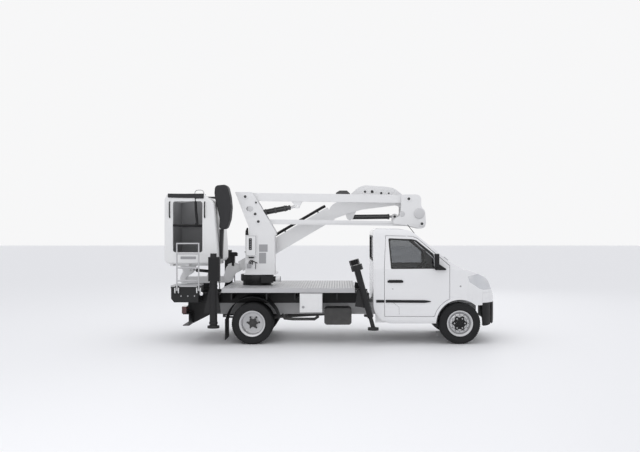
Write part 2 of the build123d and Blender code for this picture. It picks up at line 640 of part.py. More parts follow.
# Lower arm and its link, side by side in the plane of the parallelogram
with BuildPart() as lower_arm:
    hollow_beam(P1, E1, ARM_DEPTH, ARM_Y, 120, 7)
    for pivot in (P1, E1):
        add_pin(pivot, ARM_Y - 60, ARM_Y + 60, ARM_DEPTH / 2)
        add_pin(pivot, ARM_Y - 61, ARM_Y + 61, PIN_R + PIN_GAP, Mode.SUBTRACT)
    for y in (ARM_Y - 50, ARM_Y + 38):
        lug = [(-660, 2262), (-470, 2262), (-510, 2190), (B1[0] + 30, B1[1] - 34),
               (B1[0] - 30, B1[1] - 34), (-600, 2190)]
        add_plate(lug, y, y + 12)
        add_pin(B1, y, y + 12, 15, Mode.SUBTRACT)
save(lower_arm, "lower_arm")

with BuildPart() as lower_link:
    hollow_beam(P2, E2, LINK_DEPTH, ARM_Y, 80, 6)
    for pivot, gap in ((P2, PIN_GAP), (E2, 5)):
        add_pin(pivot, ARM_Y - 40, ARM_Y + 40, 45)
        add_pin(pivot, ARM_Y - 41, ARM_Y + 41, PIN_R + gap, Mode.SUBTRACT)
save(lower_link, "lower_link")

# Elbow: three plates, the torque tube, the boom's pin and the ears for its cylinder
ELBOW_PLATE = [(1150, 2360), (1214, 2370), (1481, 2370), (1481, 2169), (1545, 2100), (1560, 1900),
               (1540, 1830), (1470, 1805), (1214, 1868), (1020, 1885), (1020, 1960), (1150, 2030)]
EAR_PLATE = [(1020, 1885), (1120, 1885), (1115, 2040), (1070, 2061), (1025, 2040)]
BASE_PLATE = [(1020, 1885), (1214, 1868), (1214, 1900), (1180, 1925), (1020, 1925)]
with BuildPart() as elbow:
    for y_low, y_high in ((-235, -215), (-45, -20), (245, 262)):
        add_rounded_plate(ELBOW_PLATE, y_low, y_high, 90)
    add_plate(BASE_PLATE, -45, 262)
    for y in (96, 172):
        add_plate(EAR_PLATE, y, y + 12)
        add_pin(ELBOW_EYE, y - 1, y + 13, 16, Mode.SUBTRACT)
    add_pin(R, -235, -20, 87)
    add_pin(R, -20, 262, 40)
    for pivot in (E1, E2):
        add_pin(pivot, -247, -20, PIN_R if pivot == E1 else PIN_R - 4)
        add_pin(pivot, -247, -235, PIN_R + 18)
save(elbow, "elbow")


# Cylinders: a barrel with an eye and a blind bore, and a rod with its own eye
def save_cylinder(name, start, end, y_mid, barrel_r, rod_r, barrel_end, rod_tail, eye_r, eye_w):
    """Writes the barrel, hinged at start, and the rod, which reaches to end."""
    def point(distance):
        x, z = along(start, end, distance)
        return (x, y_mid, z)
    length = hypot(end[0] - start[0], end[1] - start[1])
    with BuildPart() as barrel:
        add_rod(point(eye_r * 0.7), point(barrel_end), barrel_r)
        add_rod(point(barrel_end - 30), point(barrel_end), barrel_r + 6)
        add_rod(point(rod_tail - 8), point(barrel_end + 1), rod_r + 5, Mode.SUBTRACT)
        add_eye(start, y_mid, eye_w, eye_r, PIN_R + PIN_GAP)
    save(barrel, name + "_barrel")
    with BuildPart() as rod:
        add_rod(point(rod_tail), point(length - eye_r * 0.7), rod_r)
        add_eye(end, y_mid, eye_w, eye_r, 16)
    save(rod, name + "_rod")


CYLINDERS = (
    # name, start, end, y_mid, barrel_r, rod_r, barrel_end, rod_tail, eye_r, eye_w
    ("lift", C1, B1, ARM_Y, 35, 21, 580, 110, 38, 50),
    ("boom", BOOM_EYE, ELBOW_EYE, BOOM_Y, 41, 24, 665, 80, 42, 44),
    ("level", LEVEL_EYE, BRACKET_EYE, BOOM_Y, 26, 13, 255, 70, 36, 36),
)
for row in CYLINDERS:
    save_cylinder(*row)

# Upper boom: its box section, the gooseneck that carries it and the ears of its cylinder
BOOM_UP = (BOOM_POINT[0] + cos(BOOM_ANGLE), BOOM_POINT[1] + sin(BOOM_ANGLE))
BOOM_END = along(BOOM_POINT, BOOM_UP, -600)
BOOM_ROOT = along(BOOM_POINT, BOOM_UP, 1000)
GOOSENECK = [(-3, 2199), (300, 2358), (452, 2498), (560, 2537), (924, 2510), (1056, 2488), (1152, 2412),
             (1480, 2135), (1500, 2000), (1420, 1975), (1300, 2080), (1106, 2203), (1015, 2193),
             (520, 2128), (331, 2075), (22, 1962), (-140, 1864)]
GOOSE_POCKET = [(60, 2180), (320, 2330), (465, 2470), (565, 2508), (920, 2482), (1046, 2460),
                (1300, 2250), (1240, 2160), (1110, 2230), (1012, 2221), (515, 2156), (320, 2100),
                (100, 2020)]
GOOSE_HOLES = ((570, 2426, 20), (689, 2426, 26), (840, 2402, 20), (967, 2400, 15))
with BuildPart() as boom:
    add_rounded_plate(GOOSENECK, BOOM_Y - BOOM_W / 2, BOOM_Y + BOOM_W / 2, 200)
    add_plate(GOOSE_POCKET, BOOM_Y - BOOM_W / 2 - 1, BOOM_Y + BOOM_W / 2 - 12, Mode.SUBTRACT)
    add_plate(GOOSE_POCKET, BOOM_Y - BOOM_W / 2, BOOM_Y - BOOM_W / 2 + 12)
    for x, z, radius in GOOSE_HOLES:
        add_pin((x, z), BOOM_Y - BOOM_W / 2 - 1, BOOM_Y, radius, Mode.SUBTRACT)
    add_plate(beam_outline(BOOM_END, BOOM_ROOT, BOOM_DEPTH), BOOM_Y - BOOM_W / 2, BOOM_Y + BOOM_W / 2)
    bore = beam_outline(BOOM_END, BOOM_ROOT, BOOM_DEPTH - 14, 1, -60)
    add_plate(bore, BOOM_Y - BOOM_W / 2 + 7, BOOM_Y + BOOM_W / 2 - 7, Mode.SUBTRACT)
    add_pin(R, BOOM_Y - BOOM_W / 2, BOOM_Y + BOOM_W / 2, 92)
    add_pin(R, BOOM_Y - BOOM_W / 2 - 1, BOOM_Y + BOOM_W / 2 + 1, 40 + PIN_GAP, Mode.SUBTRACT)
    for y in (BOOM_Y - 60, BOOM_Y + 48):
        add_plate([(240, 2060), (270, 1970), (317, 1945), (364, 1970), (420, 2100)], y, y + 12)
    add_pin(BOOM_EYE, BOOM_Y - 64, BOOM_Y + 64, PIN_R)
save(boom, "boom")

with BuildPart() as boom_inner:
    root = along(H1, BOOM_ROOT, 1560)
    hollow_beam(along(H1, BOOM_ROOT, 95), root, INNER_DEPTH, BOOM_Y, INNER_W, 6)
    add_plate(beam_outline(H1, along(H1, BOOM_ROOT, 110), 120), BOOM_Y - 48, BOOM_Y + 48)
    end_cap = beam_outline(along(H1, BOOM_ROOT, 95), along(H1, BOOM_ROOT, 110), INNER_DEPTH)
    add_plate(end_cap, BOOM_Y - INNER_W / 2, BOOM_Y + INNER_W / 2)
    add_pin(H1, BOOM_Y - 48, BOOM_Y + 48, 60)
    add_pin(H1, BOOM_Y - 49, BOOM_Y + 49, PIN_R + PIN_GAP, Mode.SUBTRACT)
save(boom_inner, "boom_inner")

HEAD_PLATE = [(-1795, 930), (-1800, 1010), (-1760, 1160), (-1690, 1235), (-1590, 1225), (-1535, 1160),
              (-1535, 1090), (-1620, 1050), (-1675, 930), (-1735, 895)]
with BuildPart() as boom_head:
    for y in (BOOM_Y - 85, BOOM_Y + 73):
        add_rounded_plate(HEAD_PLATE, y, y + 12, 60)
    for pivot in (H1, H2):
        add_pin(pivot, BOOM_Y - 92, BOOM_Y + 92, PIN_R)
    add_pin((-1712, 1198), BOOM_Y - 75, BOOM_Y + 75, 20)
save(boom_head, "boom_head")

with BuildPart() as jib:
    hollow_beam(H2, TIP, JIB_DEPTH - 3, BOOM_Y, 90, 6)
    for pivot in (H2, TIP):
        add_pin(pivot, BOOM_Y - 45, BOOM_Y + 45, 55)
        add_pin(pivot, BOOM_Y - 46, BOOM_Y + 46, PIN_R + PIN_GAP, Mode.SUBTRACT)
    for y in (BOOM_Y - 45, BOOM_Y + 33):
        add_plate([(-2090, 1000), (-1950, 1000), (-1985, 1110), (-2020, 1125), (-2055, 1110)], y, y + 12)
    add_pin(LEVEL_EYE, BOOM_Y - 48, BOOM_Y + 48, PIN_R)
save(jib, "jib")

# Work basket on its bracket
BASKET_Y = 620
BASKET_WALL = 30
BASKET = [(-2600, 1250), (-2645, 1300), (-2645, 2270), (-2605, 2369), (-2017, 2369), (-1860, 2225),
          (-1800, 1440), (-1800, 1300), (-1845, 1250)]
BASKET_INSIDE = [(-2585, 1280), (-2615, 1315), (-2615, 2265), (-2590, 2400), (-2010, 2400),
                 (-1888, 2215), (-1830, 1440), (-1830, 1310), (-1860, 1280)]
with BuildPart() as basket_bracket:
    for y in (BOOM_Y - 66, BOOM_Y + 54):
        leg = [(-2530, 905), (-2445, 905), (-2430, 1000), (-2320, 1075), (-2310, 1140), (-2260, 1210),
               (-2560, 1210), (-2480, 1100), (-2535, 990)]
        add_rounded_plate(leg, y, y + 12, 60)
        add_pin(BRACKET_EYE, y - 1, y + 13, 15, Mode.SUBTRACT)
    add_pin(TIP, BOOM_Y - 72, BOOM_Y + 72, PIN_R)
    add_block((-2560, -2260), (60, 220), (1198, 1210))
    for y in (-400, 0, 400):
        add_block((-2590, -1860), (y - 25, y + 25), (1210, 1250))
    for x in (-2540, -2290, -1900):
        add_block((x - 25, x + 25), (-560, 560), (1210, 1250))
save(basket_bracket, "basket_bracket")

BASKET_ROUND = 28
# The entry is cut through the right-hand side only
ENTRY_X = (-2512, -2034)
ENTRY_Z = (1429, 2250)
ENTRY_ROUND = 44
with BuildPart() as basket_shell:
    add_rounded_plate(BASKET, -BASKET_Y, BASKET_Y, 90)
    fillet(basket_shell.faces().filter_by(Axis.Y).edges(), BASKET_ROUND)
    add_rounded_plate(BASKET_INSIDE, -BASKET_Y + BASKET_WALL, BASKET_Y - BASKET_WALL, 70, Mode.SUBTRACT)
    with BuildSketch(side_plane(-400)) as opening:
        with Locations(((ENTRY_X[0] + ENTRY_X[1]) / 2, (ENTRY_Z[0] + ENTRY_Z[1]) / 2)):
            RectangleRounded(ENTRY_X[1] - ENTRY_X[0], ENTRY_Z[1] - ENTRY_Z[0], ENTRY_ROUND)
    extrude(opening.sketch, amount=300, mode=Mode.SUBTRACT)
save(basket_shell, "basket_shell")

with BuildPart() as basket_rails:
    for side in (-1, 1):
        y = side * (BASKET_Y - BASKET_WALL - 20)
        add_rod((-2577, y, 2340), (-1995, y, 2340), 18)
        add_rod((-2613, y, 1860), (-1868, y, 1860), 16)
    add_rod((-2577, -590, 2340), (-2577, 590, 2340), 18)
save(basket_rails, "basket_rails")

# The hood is a moulded shell on the right, open towards the basket
HOOD_Y = -360
HOOD_HALF = 120
HOOD_ROUND = 18
HOOD_WALL = 12
HOOD = [(-1862, 2505), (-1700, 2519), (-1655, 2480), (-1618, 2320), (-1603, 2150), (-1620, 1960),
        (-1675, 1800), (-1795, 1797), (-1790, 1990), (-1850, 2230), (-1873, 2380)]
with BuildPart() as console_hood:
    add_rounded_plate(HOOD, HOOD_Y - HOOD_HALF, HOOD_Y + HOOD_HALF, 160)
    fillet(console_hood.faces().filter_by(Axis.Y).edges(), HOOD_ROUND)
    with BuildSketch(side_plane(HOOD_Y)) as hollow:
        make_rounded(HOOD, 160)
        offset(amount=-HOOD_WALL, mode=Mode.REPLACE)
    extrude(hollow.sketch, amount=HOOD_HALF - HOOD_WALL, both=True, mode=Mode.SUBTRACT)
    add_block((-1900, -1760), (HOOD_Y - 90, HOOD_Y + 90), (1900, 2340), Mode.SUBTRACT)
    add_plate([(-1800, 1320), (-1760, 1320), (-1740, 1800), (-1800, 1800)], HOOD_Y - 60, HOOD_Y + 60)
save(console_hood, "console_hood")
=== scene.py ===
"""Dresses the truck-mounted boom lift: paint, glass, rubber and the small pieces that its solids leave out.

Lengths are metres. The truck faces +X, its left side is +Y and the ground is at Z 0.
"""
import json
import logging
from dataclasses import dataclass, replace
from enum import Enum
from math import cos, pi, radians, sin, tan

import bmesh
import bpy
from mathutils import Matrix, Vector


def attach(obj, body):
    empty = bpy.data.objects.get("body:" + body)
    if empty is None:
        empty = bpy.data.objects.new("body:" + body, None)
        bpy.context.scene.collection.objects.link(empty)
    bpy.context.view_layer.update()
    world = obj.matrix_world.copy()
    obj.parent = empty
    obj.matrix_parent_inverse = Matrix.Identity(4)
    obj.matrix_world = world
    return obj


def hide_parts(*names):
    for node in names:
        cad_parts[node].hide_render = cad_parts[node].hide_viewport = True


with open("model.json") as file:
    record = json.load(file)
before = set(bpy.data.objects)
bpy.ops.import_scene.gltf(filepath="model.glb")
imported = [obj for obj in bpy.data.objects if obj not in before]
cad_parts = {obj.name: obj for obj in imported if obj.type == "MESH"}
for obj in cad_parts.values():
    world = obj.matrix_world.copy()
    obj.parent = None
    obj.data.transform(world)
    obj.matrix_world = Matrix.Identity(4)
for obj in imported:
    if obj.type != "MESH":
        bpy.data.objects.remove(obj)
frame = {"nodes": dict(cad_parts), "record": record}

LOG = logging.getLogger("boom_lift")
SIDES = {"left": 1, "right": -1}
Point = tuple[float, float, float]
Flat = tuple[float, float]
Outline = list[Flat]
Nodes = dict[str, tuple[str, dict]]

SHADER = "Principled BSDF"
COAT_GLOSS = 0.06
BUMP_DEPTH = 0.002
GLASS_IOR = 1.45
GLASS_SHADE = 0.94
GLASS_GLOSS = 0.02
GLASS_SPREAD = 0.02
SHARP_ANGLE = 38.0
SEAT_SHARP_ANGLE = 60.0
TYRE_SHARP_ANGLE = 30.0
BEVEL_ANGLE = 35.0
BEVEL_SEGMENTS = 2
# Largest share of a side that a rounded corner takes, and the sharpest corner that grown still follows
CORNER_SHARE = 0.45
CORNER_LIMIT = 0.3
SAME_POINT = 1e-6
# Share of a dome's height at its edge, and parts of the arc above it
DOME_EDGE = 0.45
DOME_ARC = 6
PIN_HEIGHT = 0.006
PIN_STEPS = 28
# Layers across a pad, size of its end layers against its middle, and how square it stays between them
PAD_LAYERS = 8
PAD_EDGE = 0.80
PAD_SQUARE = 5
# Type of a group's input by the type or the length of its default
SOCKETS = {int: "NodeSocketInt", float: "NodeSocketFloat", 3: "NodeSocketVector", 4: "NodeSocketColor"}


def end_of(text: str) -> tuple[str, int | str]:
    """Splits node.socket into the node's name and the socket's name or number."""
    node, socket = text.split(".")
    return node, int(socket) if socket.isdigit() else socket


def wired(tree: bpy.types.NodeTree, nodes: Nodes, wires: str) -> None:
    """Adds nodes to a tree, sets them and links them.

    Args:
        tree: the tree.
        nodes: type and values of each node by name; one without a type is there already. A value's
            key is an attribute in small letters, or an input's name or number.
        wires: links from node.output to node.input, with commas between them.
    """
    for name, (kind, values) in nodes.items():
        node = tree.nodes.new(kind) if kind else tree.nodes[name]
        node.name = name
        for key, value in values.items():
            if isinstance(key, str) and key.islower():
                setattr(node, key, value)
            else:
                node.inputs[key].default_value = value
    for wire in wires.split(", "):
        (source, output), (target, socket) = map(end_of, wire.split(" > "))
        tree.links.new(tree.nodes[source].outputs[output], tree.nodes[target].inputs[socket])


def group(kind: str, name: str, inputs: dict[str, object], outputs: dict[str, str], nodes: Nodes,
          wires: str) -> bpy.types.NodeTree:
    """Makes a node group.

    Args:
        kind: its type.
        name: its name.
        inputs: default of each input by name, from which it takes its type.
        outputs: socket type of each output by name.
        nodes: its nodes, as wired takes them.
        wires: its links, as wired takes them.

    Returns:
        The group.
    """
    tree = bpy.data.node_groups.new(name, kind)
    for label, default in inputs.items():
        form = SOCKETS[len(default) if isinstance(default, tuple) else type(default)]
        tree.interface.new_socket(name=label, in_out="INPUT", socket_type=form).default_value = default
    for label, form in outputs.items():
        tree.interface.new_socket(name=label, in_out="OUTPUT", socket_type=form)
    wired(tree, {"In": ("NodeGroupInput", {}), "Out": ("NodeGroupOutput", {})} | nodes, wires)
    return tree


# The slow change of tone and gloss that a real surface has
MOTTLE = group(
    "ShaderNodeTree", "Mottle",
    {"Main": (0.8, 0.8, 0.8, 1), "Shade": (0.7, 0.7, 0.7, 1), "Scale": 6.0, "Gloss": 0.35, "Spread": 0.08},
    {"Colour": "NodeSocketColor", "Roughness": "NodeSocketFloat"},
    {"place": ("ShaderNodeTexCoord", {}), "noise": ("ShaderNodeTexNoise", {"Detail": 4.0}),
     "mix": ("ShaderNodeMix", {"data_type": "RGBA"}),
     "gloss": ("ShaderNodeMath", {"operation": "MULTIPLY_ADD"})},
    "place.Object > noise.Vector, In.Scale > noise.Scale, noise.Fac > mix.Factor, In.Main > mix.A, "
    "In.Shade > mix.B, noise.Fac > gloss.0, In.Spread > gloss.1, In.Gloss > gloss.2, "
    "mix.Result > Out.Colour, gloss.0 > Out.Roughness")

# Fine relief, from orange peel in paint to the grain of moulded plastic
GRAIN = group(
    "ShaderNodeTree", "Grain", {"Fine": 300.0, "Coarse": 40.0, "Stretch": (1.0, 1.0, 1.0)},
    {"Height": "NodeSocketFloat"},
    {"place": ("ShaderNodeTexCoord", {}), "stretch": ("ShaderNodeVectorMath", {"operation": "MULTIPLY"}),
     "fine": ("ShaderNodeTexNoise", {}), "coarse": ("ShaderNodeTexNoise", {}),
     "add": ("ShaderNodeMath", {"operation": "ADD"})},
    "place.Object > stretch.0, In.Stretch > stretch.1, stretch.Vector > fine.Vector, "
    "stretch.Vector > coarse.Vector, In.Fine > fine.Scale, In.Coarse > coarse.Scale, "
    "fine.Fac > add.0, coarse.Fac > add.1, add.0 > Out.Height")

# Road dust over a colour, thicker towards the ground
DUST = group(
    "ShaderNodeTree", "Dust",
    {"Colour": (0.8, 0.8, 0.8, 1), "Dust": (0.5, 0.48, 0.45, 1), "Top": 0.9, "Amount": 0.1},
    {"Colour": "NodeSocketColor"},
    {"place": ("ShaderNodeTexCoord", {}), "split": ("ShaderNodeSeparateXYZ", {}),
     "fall": ("ShaderNodeMapRange", {"From Min": 0.0, "To Min": 1.0, "To Max": 0.0}),
     "noise": ("ShaderNodeTexNoise", {"Scale": 9.0, "Detail": 6.0}),
     "share": ("ShaderNodeMath", {"operation": "MULTIPLY"}),
     "amount": ("ShaderNodeMath", {"operation": "MULTIPLY", "use_clamp": True}),
     "mix": ("ShaderNodeMix", {"data_type": "RGBA"})},
    "place.Object > split.Vector, place.Object > noise.Vector, split.Z > fall.Value, "
    "In.Top > fall.From Max, fall.Result > share.0, noise.Fac > share.1, share.0 > amount.0, "
    "In.Amount > amount.1, amount.0 > mix.Factor, In.Colour > mix.A, In.Dust > mix.B, "
    "mix.Result > Out.Colour")


class Pattern(Enum):
    """The small relief of a surface: fine scale, coarse scale, stretch and bump strength."""

    PAINT = (420.0, 30.0, (1.0, 1.0, 1.0), 0.02)
    CAST = (260.0, 45.0, (1.0, 1.0, 1.0), 0.12)
    GRAIN = (650.0, 180.0, (1.0, 1.0, 1.0), 0.22)
    CLOTH = (900.0, 400.0, (1.0, 1.0, 1.0), 0.35)
    BRUSHED = (500.0, 60.0, (0.08, 1.0, 1.0), 0.05)


def toned(colour: Point, share: float = 1.0) -> tuple[float, ...]:
    """Gives a share of a colour as a shader takes it."""
    return (*(c * share for c in colour), 1)


@dataclass(frozen=True)
class Surface:
    """What the surface of a piece is made of.

    Attributes:
        name: the material's name.
        slot: the record's material slot that it belongs to.
        colour: its main colour, or that of the light which glass lets through.
    """

    name: str
    slot: str
    colour: Point

    def graph(self) -> tuple[Nodes, str]:
        """Gives the material's nodes and links, as wired takes them."""
        raise NotImplementedError

    def material(self) -> bpy.types.Material:
        """Gives the material, built the first time it is asked for.

        Returns:
            The material.
        """
        made = bpy.data.materials.get(self.name)
        if made is None:
            made = bpy.data.materials.new(self.name)
            made.use_nodes = True
            wired(made.node_tree, *self.graph())
        return made


@dataclass(frozen=True)
class Finish(Surface):
    """A paint, plastic, rubber or metal finish.

    Attributes:
        gloss: its lowest roughness.
        metal: how metallic it is.
        coat: weight of a clear coat.
        pattern: its small relief.
        fade: how much darker its mottling gets, as a share.
        dust: how much road dust it carries near the ground.
        shine: its specular level.
        rear: colour of what lies behind X 0, where that differs.
    """

    gloss: float = 0.35
    metal: float = 0.0
    coat: float = 0.0
    pattern: Pattern = Pattern.PAINT
    fade: float = 0.06
    dust: float = 0.0
    shine: float = 0.5
    rear: Point | None = None

    def graph(self) -> tuple[Nodes, str]:
        """Gives the mottled colour, the dust over it and the relief.

        Returns:
            The nodes and the links.
        """
        fine, coarse, stretch, strength = self.pattern.value
        nodes = {
            SHADER: ("", {"Metallic": self.metal, "Coat Weight": self.coat, "Coat Roughness": COAT_GLOSS,
                          "Specular IOR Level": self.shine}),
            "mottle": ("ShaderNodeGroup", {"node_tree": MOTTLE, "Main": toned(self.colour),
                                           "Shade": toned(self.colour, 1 - self.fade), "Gloss": self.gloss}),
            "grain": ("ShaderNodeGroup", {"node_tree": GRAIN, "Fine": fine, "Coarse": coarse,
                                          "Stretch": stretch}),
            "bump": ("ShaderNodeBump", {"Strength": strength, "Distance": BUMP_DEPTH})}
        wires = (f"mottle.Roughness > {SHADER}.Roughness, grain.Height > bump.Height, "
                 f"bump.Normal > {SHADER}.Normal")
        last = "mottle.Colour"
        if self.rear:
            nodes |= {"place": ("ShaderNodeTexCoord", {}), "split": ("ShaderNodeSeparateXYZ", {}),
                      "behind": ("ShaderNodeMath", {"operation": "LESS_THAN", 1: 0.0}),
                      "swap": ("ShaderNodeMix", {"data_type": "RGBA", "B": toned(self.rear)})}
            wires += (", place.Object > split.Vector, split.X > behind.0, behind.0 > swap.Factor, "
                      f"{last} > swap.A")
            last = "swap.Result"
        if self.dust:
            nodes["dust"] = ("ShaderNodeGroup", {"node_tree": DUST, "Amount": self.dust})
            wires += f", {last} > dust.Colour"
            last = "dust.Colour"
        return nodes, wires + f", {last} > {SHADER}.Base Color"


@dataclass(frozen=True)
class Glass(Surface):
    """Tinted window glass."""

    def graph(self) -> tuple[Nodes, str]:
        """Gives the tint.

        Returns:
            The nodes and the links.
        """
        nodes = {
            SHADER: ("", {"Transmission Weight": 1.0, "IOR": GLASS_IOR}),
            "mottle": ("ShaderNodeGroup", {"node_tree": MOTTLE, "Main": toned(self.colour),
                                           "Shade": toned(self.colour, GLASS_SHADE), "Gloss": GLASS_GLOSS,
                                           "Spread": GLASS_SPREAD})}
        return nodes, f"mottle.Colour > {SHADER}.Base Color, mottle.Roughness > {SHADER}.Roughness"


CAST, FINE_GRAIN, BRUSHED = Pattern.CAST, Pattern.GRAIN, Pattern.BRUSHED

# The finishes of the solids, one for each slot
CAB_WHITE = Finish("cab white", "cab_paint", (0.80, 0.80, 0.805), 0.22, coat=0.6, fade=0.02, dust=0.10)
BOOM_WHITE = Finish("boom white", "boom_paint", (0.80, 0.80, 0.80), 0.30, coat=0.2, fade=0.03)
BASKET_WHITE = Finish("basket white", "basket_white", (0.80, 0.80, 0.795), 0.38, fade=0.04, pattern=CAST)
BOX_WHITE = Finish("box white", "box_white", (0.78, 0.78, 0.78), 0.32, fade=0.04, dust=0.2)
CHASSIS_GREY = Finish("chassis grey", "chassis_grey", (0.46, 0.46, 0.465), 0.45, fade=0.2, dust=0.12)
FRAME_BLACK = Finish("frame black", "frame_black", (0.015, 0.015, 0.016), 0.40, fade=0.2, dust=0.04,
                     shine=0.3)
TREAD_GREY = Finish("tread plate", "deck_tread", (0.50, 0.50, 0.51), 0.34, metal=0.45, fade=0.12,
                    pattern=CAST)
TRIM_BLACK = Finish("trim black", "trim_black", (0.013, 0.013, 0.014), 0.48, pattern=FINE_GRAIN, fade=0.15,
                    shine=0.25)
HOOD_GREY = Finish("hood grey", "console_grey", (0.030, 0.030, 0.032), 0.55, pattern=FINE_GRAIN, fade=0.12,
                   shine=0.3)
LAMP = Finish("lamp", "lamp_lens", (0.68, 0.69, 0.71), 0.10, metal=0.3, coat=1.0, fade=0.2,
              rear=(0.055, 0.004, 0.004))
SEAT_CLOTH = Finish("seat cloth", "seat_cloth", (0.055, 0.056, 0.06), 0.75, pattern=Pattern.CLOTH, fade=0.2)
RUBBER = Finish("tyre rubber", "tyre_rubber", (0.020, 0.020, 0.021), 0.70, pattern=CAST, fade=0.25,
                shine=0.25)
RIM_SILVER = Finish("rim silver", "rim_silver", (0.60, 0.60, 0.61), 0.28, metal=0.75, fade=0.12, pattern=CAST)
CYLINDER_BLACK = Finish("cylinder black", "cylinder_black", (0.016, 0.016, 0.017), 0.25, coat=0.4, fade=0.15)
CHROME = Finish("rod chrome", "rod_chrome", (0.72, 0.72, 0.73), 0.08, metal=1.0, pattern=BRUSHED)
AXLE_STEEL = Finish("axle steel", "axle_steel", (0.05, 0.05, 0.052), 0.48, metal=0.4, pattern=CAST, dust=0.25)
TANK_BLACK = Finish("tank black", "tank_black", (0.018, 0.018, 0.019), 0.5, pattern=FINE_GRAIN, dust=0.2)
LADDER_GREY = Finish("ladder grey", "ladder_tube", (0.50, 0.50, 0.51), 0.36, metal=0.4, fade=0.08)
WINDOW_TINT = Glass("window glass", "window_glass", (0.42, 0.43, 0.44))
SLOT_FINISH = {finish.slot: finish for finish in (
    CAB_WHITE, BOOM_WHITE, BASKET_WHITE, BOX_WHITE, CHASSIS_GREY, FRAME_BLACK, TREAD_GREY, TRIM_BLACK,
    HOOD_GREY, LAMP, SEAT_CLOTH, RUBBER, RIM_SILVER, CYLINDER_BLACK, CHROME, AXLE_STEEL, TANK_BLACK,
    LADDER_GREY, WINDOW_TINT)}

# The finishes of small pieces alone
HUB_BLACK = Finish("hub black", "frame_black", (0.022, 0.022, 0.024), 0.42, fade=0.2, dust=0.12)
SEAL_BLACK = Finish("seal black", "trim_black", (0.010, 0.010, 0.011), 0.5, fade=0.2)
# Dark grey painted shade for the inside of the basket, laid as a thin sheet over its walls and floor
PAINTED_SHADE_GREY = Finish("liner grey", "console_grey", (0.27, 0.27, 0.275), 0.6, pattern=FINE_GRAIN, fade=0.15)
STEEL = Finish("bright steel", "rod_chrome", (0.46, 0.46, 0.47), 0.30, metal=0.9, pattern=BRUSHED)
PLATE_GREY = Finish("plate grey", "rod_chrome", (0.36, 0.36, 0.37), 0.42, fade=0.05)
# Painted shade on the domed bosses: the boom's white paint made darker
BOSS_PAINTED_SHADE = Finish("boss grey", "boom_paint", (0.62, 0.62, 0.625), 0.32, coat=0.2, fade=0.05)
MIRROR = Finish("mirror glass", "rod_chrome", (0.82, 0.82, 0.83), 0.03, metal=1.0)
CLEAR_LENS = Finish("clear lens", "lamp_lens", (0.34, 0.34, 0.35), 0.12, coat=1.0)


def rounded(outline: Outline, radius: float, steps: int = 5) -> Outline:
    """Rounds the corners of a closed outline.

    Args:
        outline: its corners in order.
        radius: the largest radius at a corner.
        steps: parts of each arc.

    Returns:
        The outline with steps + 1 points for each corner.
    """
    points = []
    for index, corner in enumerate(outline):
        here = Vector(corner)
        run_in = Vector(outline[index - 1]) - here
        run_out = Vector(outline[(index + 1) % len(outline)]) - here
        half = run_in.angle(run_out) / 2
        reach = min(radius / tan(half), CORNER_SHARE * min(run_in.length, run_out.length))
        start = here + run_in.normalized() * reach
        end = here + run_out.normalized() * reach
        for step in range(steps + 1):
            t = step / steps
            points.append(tuple(start * (1 - t) ** 2 + here * 2 * t * (1 - t) + end * t ** 2))
    return points


def grown(outline: Outline, amount: float) -> Outline:
    """Moves every side of a closed outline outwards.

    Args:
        outline: its corners in order.
        amount: how far, negative for inwards.

    Returns:
        The new corners, in the same order.
    """
    area = sum(a[0] * b[1] - b[0] * a[1] for a, b in zip(outline, outline[1:] + outline[:1]))
    turn = 1 if area > 0 else -1
    moved = []
    for index, corner in enumerate(outline):
        first = (Vector(corner) - Vector(outline[index - 1])).normalized()
        second = (Vector(outline[(index + 1) % len(outline)]) - Vector(corner)).normalized()
        out_a = Vector((first.y, -first.x)) * turn
        out_b = Vector((second.y, -second.x)) * turn
        mid = (out_a + out_b).normalized()
        moved.append(tuple(Vector(corner) + mid * (amount / max(mid.dot(out_a), CORNER_LIMIT))))
    return moved


def oblong(x: Flat, z: Flat, radius: float = 0.0) -> Outline:
    """Gives a rectangle between two pairs of values, rounded where it has a radius."""
    corners = [(x[0], z[0]), (x[1], z[0]), (x[1], z[1]), (x[0], z[1])]
    return rounded(corners, radius) if radius else corners


def new_piece(name: str, mesh: bpy.types.Mesh) -> bpy.types.Object:
    """Puts a mesh into the scene, at the origin.

    Args:
        name: the object's name.
        mesh: its mesh.

    Returns:
        The object.
    """
    piece = bpy.data.objects.new(name, mesh)
    bpy.context.scene.collection.objects.link(piece)
    return piece


def soften(piece: bpy.types.Object, width: float) -> None:
    """Rounds the sharp edges of a piece.

    Args:
        piece: the piece.
        width: width of the rounding.
    """
    bevel = piece.modifiers.new("Soft edges", "BEVEL")
    bevel.width = width
    bevel.segments = BEVEL_SEGMENTS
    bevel.limit_method = "ANGLE"
    bevel.angle_limit = radians(BEVEL_ANGLE)
    bevel.harden_normals = True


def dressed(piece: bpy.types.Object, finish: Surface, body: str, bevel: float = 0.0,
            sharp: float = SHARP_ANGLE) -> bpy.types.Object:
    """Gives a piece its finish, softens its edges and seats it on its body.

    Args:
        piece: a mesh object at the origin.
        finish: its finish.
        body: the body that it rides on.
        bevel: width of the rounding on its edges.
        sharp: the angle in degrees above which an edge stays sharp.

    Returns:
        The piece.
    """
    piece.data.materials.clear()
    piece.data.materials.append(finish.material())
    piece.data.shade_smooth()
    piece.data.set_sharp_from_angle(angle=radians(sharp))
    if bevel:
        soften(piece, bevel)
    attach(piece, body)
    LOG.info("%s on %s", piece.name, body)
    return piece


